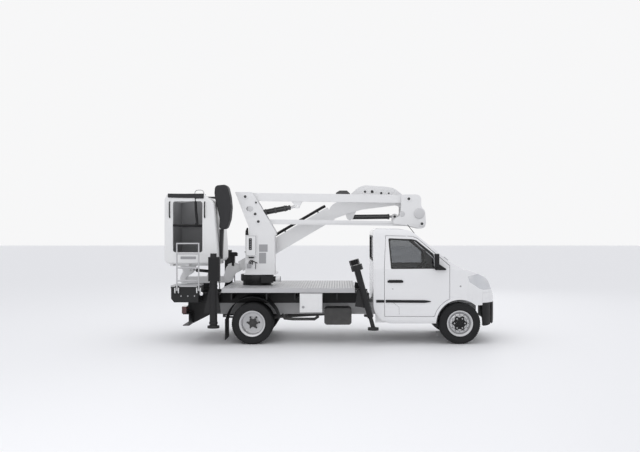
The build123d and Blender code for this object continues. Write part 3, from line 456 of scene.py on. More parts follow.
class Shape:
    """One mesh being built, in metres and in the machine's frame."""

    def __init__(self) -> None:
        """Starts an empty mesh."""
        self.bm = bmesh.new()

    def skin(self, loops: list[list[Point]], joined: bool = False, merge: bool = False) -> "Shape":
        """Adds the faces between loops of as many points.

        Args:
            loops: the loops in order.
            joined: whether the last loop meets the first; otherwise both are filled.
            merge: whether points at the same place become one.

        Returns:
            The shape, so that calls can follow each other.
        """
        rings = [[self.bm.verts.new(p) for p in loop] for loop in loops]
        faces = [] if joined else [self.bm.faces.new(rings[0]), self.bm.faces.new(rings[-1])]
        for a, b in zip(rings, rings[1:] + rings[:1] if joined else rings[1:]):
            for i in range(len(a)):
                j = (i + 1) % len(a)
                faces.append(self.bm.faces.new((a[i], a[j], b[j], b[i])))
        if merge:
            bmesh.ops.remove_doubles(self.bm, verts=[v for ring in rings for v in ring], dist=SAME_POINT)
        bmesh.ops.recalc_face_normals(self.bm, faces=[f for f in faces if f.is_valid])
        return self

    def prism(self, outline: Outline, axis: str, low: float, high: float) -> "Shape":
        """Adds a plate of any outline.

        Args:
            outline: its corners, in (x, z) for axis Y, (y, z) for X and (x, y) for Z.
            axis: the axis along which it is thick.
            low: where it starts on that axis.
            high: where it ends.

        Returns:
            The shape.
        """
        at = "XYZ".index(axis)
        return self.skin([[(*p[:at], level, *p[at:]) for p in outline] for level in (low, high)])

    def block(self, x: Flat, y: Flat, z: Flat) -> "Shape":
        """Adds a block between the low and high values of x, y and z."""
        return self.prism(oblong(x, y), "Z", *z)

    def tube(self, points: list[Point], radius: float, sides: int = 12, closed: bool = False) -> "Shape":
        """Adds a round tube along points, filled at its ends.

        Args:
            points: its middle line.
            radius: its radius.
            sides: sides of its section.
            closed: whether its end meets its start.

        Returns:
            The shape.
        """
        line = [Vector(p) for p in points]
        last = len(line) - 1
        loops = []
        normal = None
        for i, here in enumerate(line):
            before = line[i - 1] if closed or i else here
            after = line[(i + 1) % len(line)] if closed or i < last else here
            run = (after - before).normalized()
            if normal is None:
                normal = run.orthogonal().normalized()
            normal = (normal - run * normal.dot(run)).normalized()
            side = run.cross(normal)
            loops.append([here + (normal * cos(a) + side * sin(a)) * radius
                          for a in (2 * pi * k / sides for k in range(sides))])
        return self.skin(loops, closed)

    def lathe(self, profile: Outline, centre: Point, axis: Point, steps: int = 64) -> "Shape":
        """Turns a closed profile about an axis.

        Args:
            profile: (radius, distance along the axis) of each corner.
            centre: where the axis starts.
            axis: its direction.
            steps: sides round it.

        Returns:
            The shape.
        """
        run = Vector(axis).normalized()
        normal = run.orthogonal().normalized()
        side = run.cross(normal)
        loops = []
        for k in range(steps):
            a = 2 * pi * k / steps
            out = normal * cos(a) + side * sin(a)
            loops.append([Vector(centre) + out * r + run * d for r, d in profile])
        return self.skin(loops, joined=True, merge=True)

    def dome(self, centre: Point, axis: Point, radius: float, height: float, steps: int = 40) -> "Shape":
        """Adds a round cap with a softly domed face, seated at centre.

        Args:
            centre: the middle of its foot.
            axis: the direction in which it stands out.
            radius: its radius.
            height: its height.
            steps: sides round it.

        Returns:
            The shape.
        """
        arc = [(radius * cos(t), height * (DOME_EDGE + (1 - DOME_EDGE) * sin(t)))
               for t in (pi / 2 * k / DOME_ARC for k in range(DOME_ARC))]
        return self.lathe([(0.0, 0.0), (radius, 0.0), *arc, (0.0, height)], centre, axis, steps)

    def ring(self, outer: list[Point], inner: list[Point], normal: Point, levels: Flat) -> "Shape":
        """Adds a flat frame between two loops of as many points.

        Args:
            outer: the outer loop.
            inner: the inner loop.
            normal: the direction in which it is thick.
            levels: its start and end along that direction.

        Returns:
            The shape.
        """
        run = Vector(normal).normalized()
        low, high = levels
        return self.skin([[Vector(p) + run * level for p in loop] for loop, level in
                          ((outer, low), (outer, high), (inner, high), (inner, low))], joined=True)

    def made(self, name: str, finish: Surface, body: str, bevel: float = 0.0,
             sharp: float = SHARP_ANGLE) -> bpy.types.Object:
        """Turns the shape into a piece of the machine.

        Args:
            name: the piece's name.
            finish: its finish.
            body: the body that it rides on.
            bevel: width of the rounding on its edges.
            sharp: the angle in degrees above which an edge stays sharp.

        Returns:
            The piece.
        """
        mesh = bpy.data.meshes.new(name)
        self.bm.to_mesh(mesh)
        self.bm.free()
        return dressed(new_piece(name, mesh), finish, body, bevel, sharp)


def pin_head(name: str, centre: Point, body: str, radius: float = 0.023) -> None:
    """Makes the dark domed end of a pin, facing right.

    Args:
        name: the piece's name.
        centre: the middle of its foot.
        body: the body that it rides on.
        radius: its radius.
    """
    Shape().dome(centre, (0, -1, 0), radius, PIN_HEIGHT, PIN_STEPS).made(name, CYLINDER_BLACK, body)


class Repeat(Enum):
    """The form that is repeated, one metre across, as a node and its values."""

    HEX = ("GeometryNodeMeshCylinder", {"Vertices": 6, "Radius": 0.5, "Depth": 1.0})
    ROUND = ("GeometryNodeMeshCylinder", {"Vertices": 20, "Radius": 0.5, "Depth": 1.0})
    BLOCK = ("GeometryNodeMeshCube", {})
    LENS = ("GeometryNodeMeshUVSphere", {"Segments": 8, "Rings": 4, "Radius": 0.5})


@dataclass(frozen=True)
class Copies:
    """Copies of a small form, laid out by Geometry Nodes and turned into one plain piece.

    Attributes:
        name: the piece's name.
        form: the repeated form.
        finish: its finish.
        body: the body that it rides on.
        places: where the whole layout goes.
        size: size of each copy.
        bevel: width of the rounding on its edges.
    """

    name: str
    form: Repeat
    finish: Finish
    body: str
    places: list[Matrix]
    size: Point
    bevel: float = 0.0

    def ring(self, count: int, radius: float) -> None:
        """Lays the copies round a ring in the XY plane, each turned outwards.

        Args:
            count: how many.
            radius: radius of the ring.
        """
        nodes = {"circle": ("GeometryNodeMeshCircle", {}), "spot": ("GeometryNodeInputPosition", {}),
                 "turn": ("FunctionNodeAlignRotationToVector", {"axis": "X", "pivot_axis": "Z"})}
        self._lay({"Count": count, "Radius": radius}, nodes,
                  "In.Count > circle.Vertices, In.Radius > circle.Radius, circle.Mesh > put.Points, "
                  "spot.Position > turn.Vector, turn.Rotation > put.Rotation")

    def row(self, count: int, step: Point) -> None:
        """Lays the copies along a line that starts at the origin.

        Args:
            count: how many.
            step: from one to the next.
        """
        self._lay({"Count": count, "Step": step}, {"line": ("GeometryNodeMeshLine", {})},
                  "In.Count > line.Count, In.Step > line.Offset, line.Mesh > put.Points")

    def tread(self, extent: Flat, counts: tuple[int, int], hole: Point, radius: float) -> None:
        """Lays the copies in two directions over a floor, round a hole.

        Args:
            extent: length and width of the floor.
            counts: copies along and across it.
            hole: the hole's middle, from the floor's.
            radius: radius of the hole.
        """
        nodes = {
            "grid": ("GeometryNodeMeshGrid", {}), "spot": ("GeometryNodeInputPosition", {}),
            "away": ("ShaderNodeVectorMath", {"operation": "DISTANCE"}),
            "clear": ("FunctionNodeCompare", {"operation": "GREATER_THAN"}),
            "index": ("GeometryNodeInputIndex", {}),
            "odd": ("ShaderNodeMath", {"operation": "MODULO", 1: 2.0}),
            "angle": ("ShaderNodeMath", {"operation": "MULTIPLY_ADD", 1: pi / 2, 2: pi / 4}),
            "turn": ("ShaderNodeCombineXYZ", {})}
        inputs = {"Length": extent[0], "Width": extent[1], "Along": counts[0], "Across": counts[1],
                  "Hole": hole, "Hole Radius": radius}
        self._lay(inputs, nodes,
                  "In.Length > grid.Size X, In.Width > grid.Size Y, In.Along > grid.Vertices X, "
                  "In.Across > grid.Vertices Y, grid.Mesh > put.Points, spot.Position > away.0, "
                  "In.Hole > away.1, away.Value > clear.A, In.Hole Radius > clear.B, "
                  "clear.Result > put.Selection, index.Index > odd.0, odd.0 > angle.0, angle.0 > turn.Z, "
                  "turn.Vector > put.Rotation")

    def _lay(self, inputs: dict[str, object], nodes: Nodes, wires: str) -> None:
        """Sets a form on each point of a layout and makes one plain mesh of them at every place.

        Args:
            inputs: what the layout's inputs are set to, by name.
            nodes: the layout's nodes, as wired takes them.
            wires: its links, which lead to the points of the node put.
        """
        inputs = inputs | {"Size": self.size}
        nodes = nodes | {
            "form": self.form.value, "put": ("GeometryNodeInstanceOnPoints", {}),
            "real": ("GeometryNodeRealizeInstances", {}),
            "paint": ("GeometryNodeSetMaterial", {"Material": self.finish.material()})}
        wires += (", form.Mesh > put.Instance, In.Size > put.Scale, put.Instances > real.Geometry, "
                  "real.Geometry > paint.Geometry, paint.Geometry > Out.Geometry")
        tree = group("GeometryNodeTree", self.name, inputs, {"Geometry": "NodeSocketGeometry"}, nodes, wires)
        carrier = new_piece(self.name + " source", bpy.data.meshes.new(self.name + " source"))
        modifier = carrier.modifiers.new("Repeat", "NODES")
        modifier.node_group = tree
        for item in tree.interface.items_tree:
            if item.in_out == "INPUT":
                modifier[item.identifier] = inputs[item.name]
        carrier.update_tag()
        bpy.context.view_layer.update()
        graph = bpy.context.evaluated_depsgraph_get()
        single = bpy.data.meshes.new_from_object(carrier.evaluated_get(graph))
        bpy.data.objects.remove(carrier)
        joined = bmesh.new()
        for place in self.places:
            copy = single.copy()
            copy.transform(place)
            joined.from_mesh(copy)
            bpy.data.meshes.remove(copy)
        bmesh.ops.recalc_face_normals(joined, faces=joined.faces)
        mesh = bpy.data.meshes.new(self.name)
        joined.to_mesh(mesh)
        joined.free()
        bpy.data.meshes.remove(single)
        dressed(new_piece(self.name, mesh), self.finish, self.body, self.bevel)


def facing(x: float, y: float, z: float, side: int) -> Matrix:
    """Puts what lies in the XY plane at a point, turned to face out of one side of the machine."""
    return Matrix.Translation((x, y, z)) @ Matrix.Rotation(radians(-90 * side), 4, "X")


@dataclass
class Frame:
    """The solids that stay as they are and only get a finish and soft edges.

    Attributes:
        edge: width of the rounding on their edges.
        weld: the distance within which their loose corners are joined.
        plain: nodes that keep their edges as they are.
    """

    edge: float = 0.003
    weld: float = 0.00005
    plain: tuple[str, ...] = ("cab_glass", "door_glass_left", "door_glass_right")

    def build(self) -> None:
        """Gives every node its finish by its material slot."""
        for part in frame["record"]["subparts"]:
            node = frame["nodes"][part["node"]]
            finish = SLOT_FINISH[part["material_slot"]]
            node.data.materials.clear()
            node.data.materials.append(finish.material())
            if part["node"] not in self.plain:
                node.modifiers.new("Join faces", "WELD").merge_threshold = self.weld
                soften(node, self.edge)
            LOG.info("%s has %s", part["node"], finish.name)


@dataclass
class Sided:
    """What is alike on both sides of the machine.

    Attributes:
        name: left or right.
        side: 1 on the left, -1 on the right.
    """

    name: str
    side: int


@dataclass
class Door(Sided):
    """Seal, mirror, handle, lock and mouldings of a side door.

    Attributes:
        window: corners of its window, in x and z.
        waist: height and half width where the side starts to lean in.
        lean: how far the side leans in for each metre up.
    """

    window: tuple[Flat, ...] = (
        (0.917, 1.651), (1.275, 1.637), (1.344, 1.623), (1.605, 1.412), (1.685, 1.193), (0.952, 1.188))
    waist: Flat = (1.175, 0.830)
    lean: float = 0.2321

    def build(self) -> None:
        """Builds everything on the door."""
        self.seal()
        self.mirror()
        self.furniture()

    def seal(self) -> None:
        """Makes the black seal round the window, on the leaning side."""
        level, half = self.waist
        loops = []
        for amount, radius in ((0.008, 0.022), (-0.014, 0.030)):
            flat = rounded(grown(list(self.window), amount), radius)
            loops.append([(x, self.side * (half - max(0.0, z - level) * self.lean), z) for x, z in flat])
        Shape().ring(*loops, (0, self.side, self.lean), (-0.020, 0.0025)).made(
            f"window_seal_{self.name}", SEAL_BLACK, f"door_{self.name}", 0.0012)

    def mirror(self) -> None:
        """Makes the mirror on its foot, with its glass."""
        case = [(0.878, 1.212), (0.982, 1.218), (0.985, 1.415), (0.965, 1.425), (0.878, 1.405)]
        case = rounded(case, 0.035)
        foot = rounded([(1.622, 1.166), (1.798, 1.166), (1.800, 1.186), (1.745, 1.222), (1.690, 1.262),
                        (1.640, 1.262)], 0.02)
        shape = Shape().prism([(self.side * y, z) for y, z in case], "X", 1.604, 1.680)
        shape.prism(foot, "Y", self.side * 0.812, self.side * 0.900)
        piece = shape.made(f"mirror_{self.name}", TRIM_BLACK, f"door_{self.name}", 0.008)
        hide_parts(f"door_trim_{self.name}")
        glass = [(self.side * y, z) for y, z in grown(case, -0.012)]
        Shape().prism(glass, "X", 1.6015, 1.6060).made(
            f"mirror_glass_{self.name}", MIRROR, f"door_{self.name}")

    def moulded(self, label: str, outline: Outline, proud: float, body: str, bevel: float = 0.004) -> None:
        """Makes a flat black piece on the upright part of the side.

        Args:
            label: its name without its side.
            outline: its corners in x and z.
            proud: how far it stands out.
            body: the body that it rides on.
            bevel: width of the rounding on its edges.
        """
        y = self.side * self.waist[1]
        Shape().prism(outline, "Y", y - self.side * 0.001, y + self.side * proud).made(
            f"{label}_{self.name}", TRIM_BLACK, body, bevel)

    def furniture(self) -> None:
        """Makes the handle, the lock, the side mouldings and the right door's flap seam."""
        y = self.side * self.waist[1]
        door = f"door_{self.name}"
        handle = rounded([(0.890, 0.968), (0.940, 0.964), (1.085, 0.964), (1.135, 0.968), (1.138, 0.996),
                          (1.110, 1.010), (0.915, 1.010), (0.887, 0.996)], 0.014)
        self.moulded("door_handle", handle, 0.0135, door, 0.005)
        lock = [(0.0, -0.001), (0.009, -0.001), (0.009, 0.002), (0.007, 0.0035), (0.0, 0.0035)]
        Shape().lathe(lock, (0.972, y, 0.869), (0, self.side, 0), 24).made(
            f"door_lock_{self.name}", PLATE_GREY, door)
        strip = rounded([(0.860, 0.656), (1.470, 0.652), (1.540, 0.662), (1.577, 0.672), (1.540, 0.684),
                         (1.470, 0.694), (0.860, 0.698)], 0.004, 3)
        self.moulded("door_moulding", strip, 0.011, door)
        self.moulded("pillar_moulding", oblong((0.712, 0.838), (0.656, 0.698)), 0.011, "truck")
        if self.side < 0:
            seam = ((0.981, 0.653), (1.030, 0.618), (1.068, 0.584), (1.073, 0.470))
            Shape().tube([(x, y - 0.0004, z) for x, z in seam], 0.0014, 6).made("flap_seam", SEAL_BLACK, door)


@dataclass
class Cab:
    """Window borders, wipers, aerial, side lamps and seats of the cab.

    Attributes:
        screen_low: x and z of the windscreen's lower end.
        screen_high: x and z of its upper end.
        rear_window: x of the rear window.
        half: half width of the cab at its side lamps.
        seat: y of the left seat's middle.
    """

    screen_low: Flat = (1.866, 1.289)
    screen_high: Flat = (1.277, 1.774)
    rear_window: float = 0.670
    half: float = 0.829
    seat: float = 0.365

    def build(self) -> None:
        """Builds everything on the cab but its doors."""
        self.screens()
        self.wipers()
        self.small_pieces()
        self.seats()

    def on_screen(self, up: float, y: float, lift: float = 0.0) -> Point:
        """Finds a point by its place on the windscreen.

        Args:
            up: distance up the glass.
            y: its y.
            lift: height above the glass.

        Returns:
            The point.
        """
        run = (Vector(self.screen_high) - Vector(self.screen_low)).normalized()
        spot = Vector(self.screen_low) + run * up + Vector((run.y, -run.x)) * lift
        return (spot.x, y, spot.y)

    def screens(self) -> None:
        """Makes the black borders of the windscreen and the rear window."""
        outer = [self.on_screen(*p) for p in oblong((0.037, 0.723), (-0.618, 0.618), 0.03)]
        inner = [self.on_screen(*p) for p in oblong((0.082, 0.690), (-0.575, 0.575), 0.05)]
        normal = Vector(self.on_screen(0.0, 0.0, 1.0)) - Vector(self.on_screen(0.0, 0.0))
        Shape().ring(outer, inner, normal, (-0.0035, 0.002)).made(
            "windscreen_seal", SEAL_BLACK, "truck", 0.001)
        outer = [(self.rear_window, *p) for p in oblong((-0.568, 0.568), (1.292, 1.698), 0.04)]
        inner = [(self.rear_window, *p) for p in oblong((-0.540, 0.540), (1.320, 1.670), 0.06)]
        Shape().ring(outer, inner, (-1, 0, 0), (-0.014, 0.004)).made(
            "rear_window_seal", SEAL_BLACK, "truck", 0.001)

    def wipers(self) -> None:
        """Makes the two wipers at the foot of the windscreen."""
        shape = Shape()
        # Distance up the glass, y from the wiper's foot and height above the glass
        arm = ((-0.02, 0.0, -0.01), (-0.01, 0.0, 0.022), (0.04, 0.08, 0.026), (0.10, 0.30, 0.018))
        blade = ((0.075, 0.02, 0.010), (0.095, 0.25, 0.012), (0.115, 0.50, 0.010))
        for foot in (-0.42, 0.16):
            for route, radius, sides in ((arm, 0.007, 10), (blade, 0.006, 8)):
                shape.tube([self.on_screen(up, foot + y, lift) for up, y, lift in route], radius, sides)
        shape.made("wipers", TRIM_BLACK, "truck")

    def small_pieces(self) -> None:
        """Makes the aerial, side lamps, mud flaps and the bare plate."""
        mast = ((1.338, 1.715), (1.330, 1.736), (1.222, 1.872))
        Shape().tube([(x, -0.600, z) for x, z in mast], 0.0055, 8).made("aerial", TRIM_BLACK, "truck")
        flap = rounded([(1.600, 0.455), (1.640, 0.470), (1.668, 0.420), (1.690, 0.280), (1.645, 0.262),
                        (1.592, 0.330)], 0.012)
        for name, side in SIDES.items():
            Shape().dome((2.030, side * self.half, 0.910), (0, side, 0), 0.014, 0.007, 24).made(
                f"side_lamp_{name}", CLEAR_LENS, "truck")
            Shape().prism(flap, "Y", side * 0.640, side * 0.800).made(
                f"mud_flap_{name}", TRIM_BLACK, "truck", 0.004)
        Shape().block((2.632, 2.640), (-0.235, 0.235), (0.600, 0.690)).made(
            "bare_plate", BOX_WHITE, "truck", 0.003)

    def pad(self, outline: Outline, middle: float, half: float) -> Shape:
        """Makes a pad that draws in towards its two sides.

        Args:
            outline: its corners at the middle, in x and z.
            middle: y of its middle.
            half: half its width.

        Returns:
            The pad's shape.
        """
        centre = Vector([sum(p[i] for p in outline) / len(outline) for i in (0, 1)])
        layers = []
        for k in range(PAD_LAYERS + 1):
            t = -1 + 2 * k / PAD_LAYERS
            share = PAD_EDGE + (1 - PAD_EDGE) * (1 - abs(t) ** PAD_SQUARE) ** 0.5
            loop = [centre + (Vector(p) - centre) * share for p in rounded(outline, 0.03, 3)]
            layers.append([(p.x, middle + half * t, p.y) for p in loop])
        return Shape().skin(layers)

    def seats(self) -> None:
        """Makes the two padded seats with their head restraints."""
        pads = {
            "seat_cushion": ([(0.87, 0.705), (1.30, 0.720), (1.352, 0.800), (1.335, 0.868), (1.22, 0.885),
                              (0.93, 0.862), (0.85, 0.800)], 0.225),
            "seat_back": ([(0.835, 0.880), (0.925, 0.905), (0.955, 1.010), (0.880, 1.380), (0.835, 1.420),
                           (0.780, 1.400), (0.790, 1.150)], 0.215),
            "head_restraint": ([(0.770, 1.440), (0.815, 1.440), (0.828, 1.500), (0.815, 1.562),
                                (0.775, 1.562), (0.764, 1.500)], 0.115)}
        for name, side in SIDES.items():
            middle = side * self.seat
            for label, (outline, half) in pads.items():
                piece = self.pad(outline, middle, half).made(
                    f"{label}_{name}", SEAT_CLOTH, "truck", 0.006, SEAT_SHARP_ANGLE)
            Shape().block((0.86, 1.32), (middle - 0.20, middle + 0.20), (0.641, 0.702)).made(
                f"seat_base_{name}", TRIM_BLACK, "truck", 0.006)
        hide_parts("seats")


@dataclass
class Wheels(Sided):
    """Treaded tyres, caps and nuts of one side's wheels.

    Attributes:
        front: x, y and z of the middle of the front wheel, y on the left.
        rear: the same for the twin rear wheels.
        front_half: half width of the front tyre.
        rear_half: half width of a rear tyre.
        twin: how far each rear tyre stands from the middle of its pair.
        steps: sides round a tyre.
        lugs: blocks round a tyre's shoulder.
    """

    front: Point = (2.025, 0.710, 0.325)
    rear: Point = (-1.225, 0.635, 0.325)
    front_half: float = 0.0925
    rear_half: float = 0.085
    twin: float = 0.110
    steps: int = 96
    lugs: int = 66

    def build(self) -> None:
        """Builds the front wheel and the twin rear wheels."""
        body = f"wheel_front_{self.name}"
        self.tyres("front", "tyre_front", self.front, [0.0], self.front_half, body)
        self.cap("wheel_cap", TRIM_BLACK, body, self.front, (0.103, 0.012, 96), (0.046, 0.066),
                 (0.052, 0.018), 0.004)
        self.nuts("wheel_nuts_front", Repeat.HEX, STEEL, body, self.out(self.front, 0.069),
                  (0.026, 0.026, 0.016), 0.002).ring(6, 0.083)
        self.nuts("rim_holes", Repeat.ROUND, SEAL_BLACK, body, self.out(self.front, 0.0545),
                  (0.013, 0.020, 0.012), 0.0).ring(12, 0.1345)
        body = f"wheels_rear_{self.name}"
        self.tyres("rear", "tyres_rear", self.rear, [self.twin, -self.twin], self.rear_half, body)
        self.nuts("wheel_nuts_rear", Repeat.HEX, HUB_BLACK, body, self.out(self.rear, 0.020),
                  (0.030, 0.030, 0.022), 0.002).ring(6, 0.094)
        self.cap("hub_cap", HUB_BLACK, body, self.rear, (0.072, 0.011, 72), (0.076, 0.100),
                 (0.040, 0.014), 0.003)

    def out(self, middle: Point, offset: float) -> Matrix:
        """Faces outwards at a distance from the middle of a wheel."""
        return facing(middle[0], self.side * (middle[1] + offset), middle[2], self.side)

    def nuts(self, label: str, form: Repeat, finish: Finish, body: str, place: Matrix, size: Point,
             bevel: float) -> Copies:
        """Gets a ring of small forms ready for a wheel's outer face.

        Args:
            label: the piece's name without its side.
            form: the repeated form.
            finish: its finish.
            body: the wheel's body.
            place: the ring's middle.
            size: size of each.
            bevel: width of the rounding on its edges.

        Returns:
            The copies, still to be laid out.
        """
        return Copies(f"{label}_{self.name}", form, finish, body, [place], size, bevel)

    def profile(self, half: float, middle: float) -> Outline:
        """Gives the section of a tyre with its sidewall rings and tread grooves.

        Args:
            half: half its width.
            middle: where its middle lies along the axis.

        Returns:
            Corners of the section, as radius and distance along the axis.
        """
        # Radius, and distance inwards from the sidewall
        wall = ((0.178, 0.017), (0.186, 0.010), (0.198, 0.006), (0.214, 0.0045), (0.217, 0.002),
                (0.221, 0.002), (0.224, 0.0045), (0.245, 0.002), (0.262, 0.0), (0.278, 0.001),
                (0.282, 0.004), (0.287, 0.004), (0.291, 0.002), (0.302, 0.005), (0.312, 0.012),
                (0.319, 0.022), (0.3225, 0.034), (0.3235, 0.042), (0.3170, 0.0435), (0.3170, 0.049),
                (0.3245, 0.0505))
        # Radius, and distance outwards from the tyre's middle
        tread = [(0.3250, 0.016), (0.3180, 0.0145), (0.3180, 0.0075), (0.3250, 0.006)]
        side = [(r, half - d) for r, d in wall] + tread
        return [(r, middle + d) for r, d in side] + [(r, middle - d) for r, d in reversed(side)]

    def tyres(self, label: str, node: str, middle: Point, offsets: list[float], half: float,
              body: str) -> None:
        """Makes the tyres of one end, with the blocks on their shoulders.

        Args:
            label: front or rear.
            node: the CAD node that they stand for, without its side.
            middle: the middle of the wheels, y on the left.
            offsets: where each tyre lies along the axis.
            half: half width of a tyre.
            body: the wheels' body.
        """
        x, y, z = middle[0], self.side * middle[1], middle[2]
        shape = Shape()
        for offset in offsets:
            shape.lathe(self.profile(half, offset), (x, y, z), (0, self.side, 0), self.steps)
        piece = shape.made(f"tread_{label}_{self.name}", RUBBER, body, sharp=TYRE_SHARP_ANGLE)
        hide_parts(f"{node}_{self.name}")
        shoulders = [offset + reach for offset in offsets for reach in (half - 0.026, 0.026 - half)]
        places = [Matrix.Translation((x, y + shoulder, z)) @ Matrix.Rotation(radians(90), 4, "X")
                  @ Matrix.Rotation(index * pi / self.lugs, 4, "Z")
                  for index, shoulder in enumerate(shoulders)]
        Copies(f"lugs_{label}_{self.name}", Repeat.BLOCK, RUBBER, body, places,
               (0.012, 0.021, 0.026), 0.002).ring(self.lugs, 0.3165)

    def cap(self, label: str, finish: Finish, body: str, middle: Point, lobes: tuple[float, float, int],
            reach: Flat, button: Flat, bevel: float) -> None:
        """Makes a cap with a lobe at each of six nuts and a domed middle.

        Args:
            label: its name without its side.
            finish: its finish.
            body: the wheel's body.
            middle: the middle of the wheel, y on the left.
            lobes: mean radius, depth of the lobes and points round them.
            reach: where it starts and ends, outwards from the wheel's middle.
            button: radius and height of the dome.
            bevel: width of the rounding on its edges.
        """
        radius, depth, count = lobes
        rim = ((2 * pi * k / count, radius + depth * cos(6 * 2 * pi * k / count)) for k in range(count))
        x, y, z = middle[0], self.side * middle[1], middle[2]
        start, end = (y + self.side * level for level in reach)
        shape = Shape().prism([(x + cos(a) * r, z + sin(a) * r) for a, r in rim], "Y", start, end)
        shape.dome((x, end - self.side * 0.002, z), (0, self.side, 0), *button)
        shape.made(f"{label}_{self.name}", finish, body, bevel)


@dataclass
class Deck:
    """Tread bars and the small pieces along the side of the deck.

    Attributes:
        x: where the deck starts and ends.
        half: half its width.
        top: its height.
        rim: the bare border round the tread.
        slew: x of the slew axis.
        hole: radius of the tread's opening round the slew axis.
    """

    x: Flat = (-1.700, 0.380)
    half: float = 0.850
    top: float = 0.880
    rim: float = 0.025
    slew: float = -1.230
    hole: float = 0.30

    def build(self) -> None:
        """Builds the tread, the edge rivets, the toolbox lock and the pipe."""
        middle = (self.x[0] + self.x[1]) / 2
        extent = (self.x[1] - self.x[0] - 2 * self.rim, 2 * (self.half - self.rim))
        Copies("tread_bars", Repeat.LENS, TREAD_GREY, "truck", [Matrix.Translation((middle, 0, self.top))],
               (0.036, 0.010, 0.006)).tread(extent, (49, 39), (self.slew - middle, 0.0, 0.0), self.hole)
        Copies("edge_rivets", Repeat.ROUND, STEEL, "truck",
               [facing(-1.56, side * (self.half + 0.001), 0.840, side) for side in (1, -1)],
               (0.014, 0.014, 0.006), 0.001).row(9, (0.245, 0, 0))
        Shape().lathe([(0.0, -0.002), (0.020, -0.002), (0.020, 0.003), (0.016, 0.006), (0.009, 0.006),
                       (0.009, 0.004), (0.0, 0.004)], (-0.425, -0.8655, 0.590), (0, -1, 0), 32).made(
            "toolbox_lock", PLATE_GREY, "toolbox_door")
        bead = [(x, -0.8595, z) for x, z in oblong((-0.468, -0.142), (0.517, 0.788), 0.02)]
        Shape().tube(bead, 0.0022, 6, True).made("toolbox_bead", BOX_WHITE, "toolbox_door")
        pipe = [(-0.78, -0.46, 0.43), (-0.74, -0.50, 0.372), (-0.60, -0.50, 0.360), (-0.26, -0.50, 0.360),
                (-0.20, -0.46, 0.40)]
        Shape().tube(pipe, 0.024, 14).made("exhaust_pipe", AXLE_STEEL, "truck")


@dataclass
class SlewTower:
    """Bolts, boxes, levers and pin heads of the turret and its column.

    Attributes:
        cheek: y of the outer face of the near cheek plate.
        box: y of the control box's face.
        pins: x and z of the pivots on the cheek plates.
    """

    cheek: float = -0.255
    box: float = -0.3115
    pins: tuple[Flat, ...] = ((-1.402, 2.333), (-1.187, 1.925), (-1.238, 2.049))

    def build(self) -> None:
        """Builds everything that turns with the turret, and the slew motor's cover."""
        Copies("base_bolts", Repeat.HEX, STEEL, "turret",
               [Matrix.Translation((-1.39, y, 1.0815)) for y in (0.225, 0.10)],
               (0.020, 0.020, 0.009), 0.001).row(6, (0.088, 0, 0))
        for x, z in self.pins:
            pin_head(f"pin_{int(abs(x) * 1000)}_head", (x, self.cheek - 0.011, z), "turret")
        self.control_box()
        plates = Shape()
        for right, low, high in ((-1.035, 1.430, 1.550), (-1.060, 1.240, 1.415)):
            plates.block((-1.175, right), (-0.2615, -0.2595), (low, high))
        plates.made("bare_plates", PLATE_GREY, "turret", 0.0006)
        # The cheek boss is the boom's white made darker: painted shade
        Shape().dome((-1.318, self.cheek, 2.134), (0, -1, 0), 0.046, 0.010).made(
            "cheek_boss", BOSS_PAINTED_SHADE, "turret")
        self.levers()
        cover = [(-1.397, 1.700), (-1.345, 1.700), (-1.350, 1.822), (-1.372, 1.826), (-1.394, 1.770)]
        Shape().prism(rounded(cover, 0.014), "Y", -0.290, -0.262).made(
            "cable_cover", TRIM_BLACK, "turret", 0.005)
        Shape().tube([(-0.905, -0.225, 0.985), (-0.829, -0.225, 0.985)], 0.047, 32).made(
            "motor_cover", BOOM_WHITE, "truck", 0.006)
        Shape().tube([(-1.225, -0.272, 2.236), (-1.225, -0.248, 2.236)], 0.014, 24).made(
            "cheek_bolt", TRIM_BLACK, "turret", 0.003)

    def control_box(self) -> None:
        """Makes the control box's seam, its switch strip and the switches."""
        seam = [(x, self.box - 0.0009, z) for x, z in oblong((-1.382, -1.226), (1.372, 1.690), 0.010)]
        Shape().tube(seam, 0.0018, 6, True).made("control_box_seam", SEAL_BLACK, "turret")
        strip = oblong((-1.336, -1.288), (1.462, 1.652), 0.008)
        Shape().prism(strip, "Y", self.box - 0.005, self.box).made(
            "switch_strip", TRIM_BLACK, "turret", 0.0015)
        Copies("switches", Repeat.ROUND, PLATE_GREY, "turret", [facing(-1.312, self.box - 0.005, 1.4850, -1)],
               (0.018, 0.018, 0.007), 0.001).row(5, (0.0, 0.036, 0.0))

    def levers(self) -> None:
        """Makes the bank of hydraulic levers below the control box."""
        Shape().block((-1.372, -1.300), (-0.292, -0.259), (1.165, 1.235)).made(
            "valve_bank", PLATE_GREY, "turret", 0.004)
        sticks = Shape()
        for k in range(3):
            x, drop = -1.338 + 0.026 * k, 0.018 * k
            sticks.tube([(x, -0.276, 1.225), (x + 0.004, -0.288, 1.262),
                         (x + 0.030, -0.296, 1.290 - drop / 2),
                         (x + 0.070 + drop / 2, -0.300, 1.282 - drop)], 0.0075, 10)
        sticks.tube([(-1.342, -0.290, 1.338), (-1.256, -0.290, 1.338)], 0.011, 16)
        sticks.tube([(-1.226, -0.300, 1.262), (-1.228, -0.298, 1.180), (-1.232, -0.276, 1.150)], 0.0055, 10)
        sticks.made("levers", TRIM_BLACK, "turret")


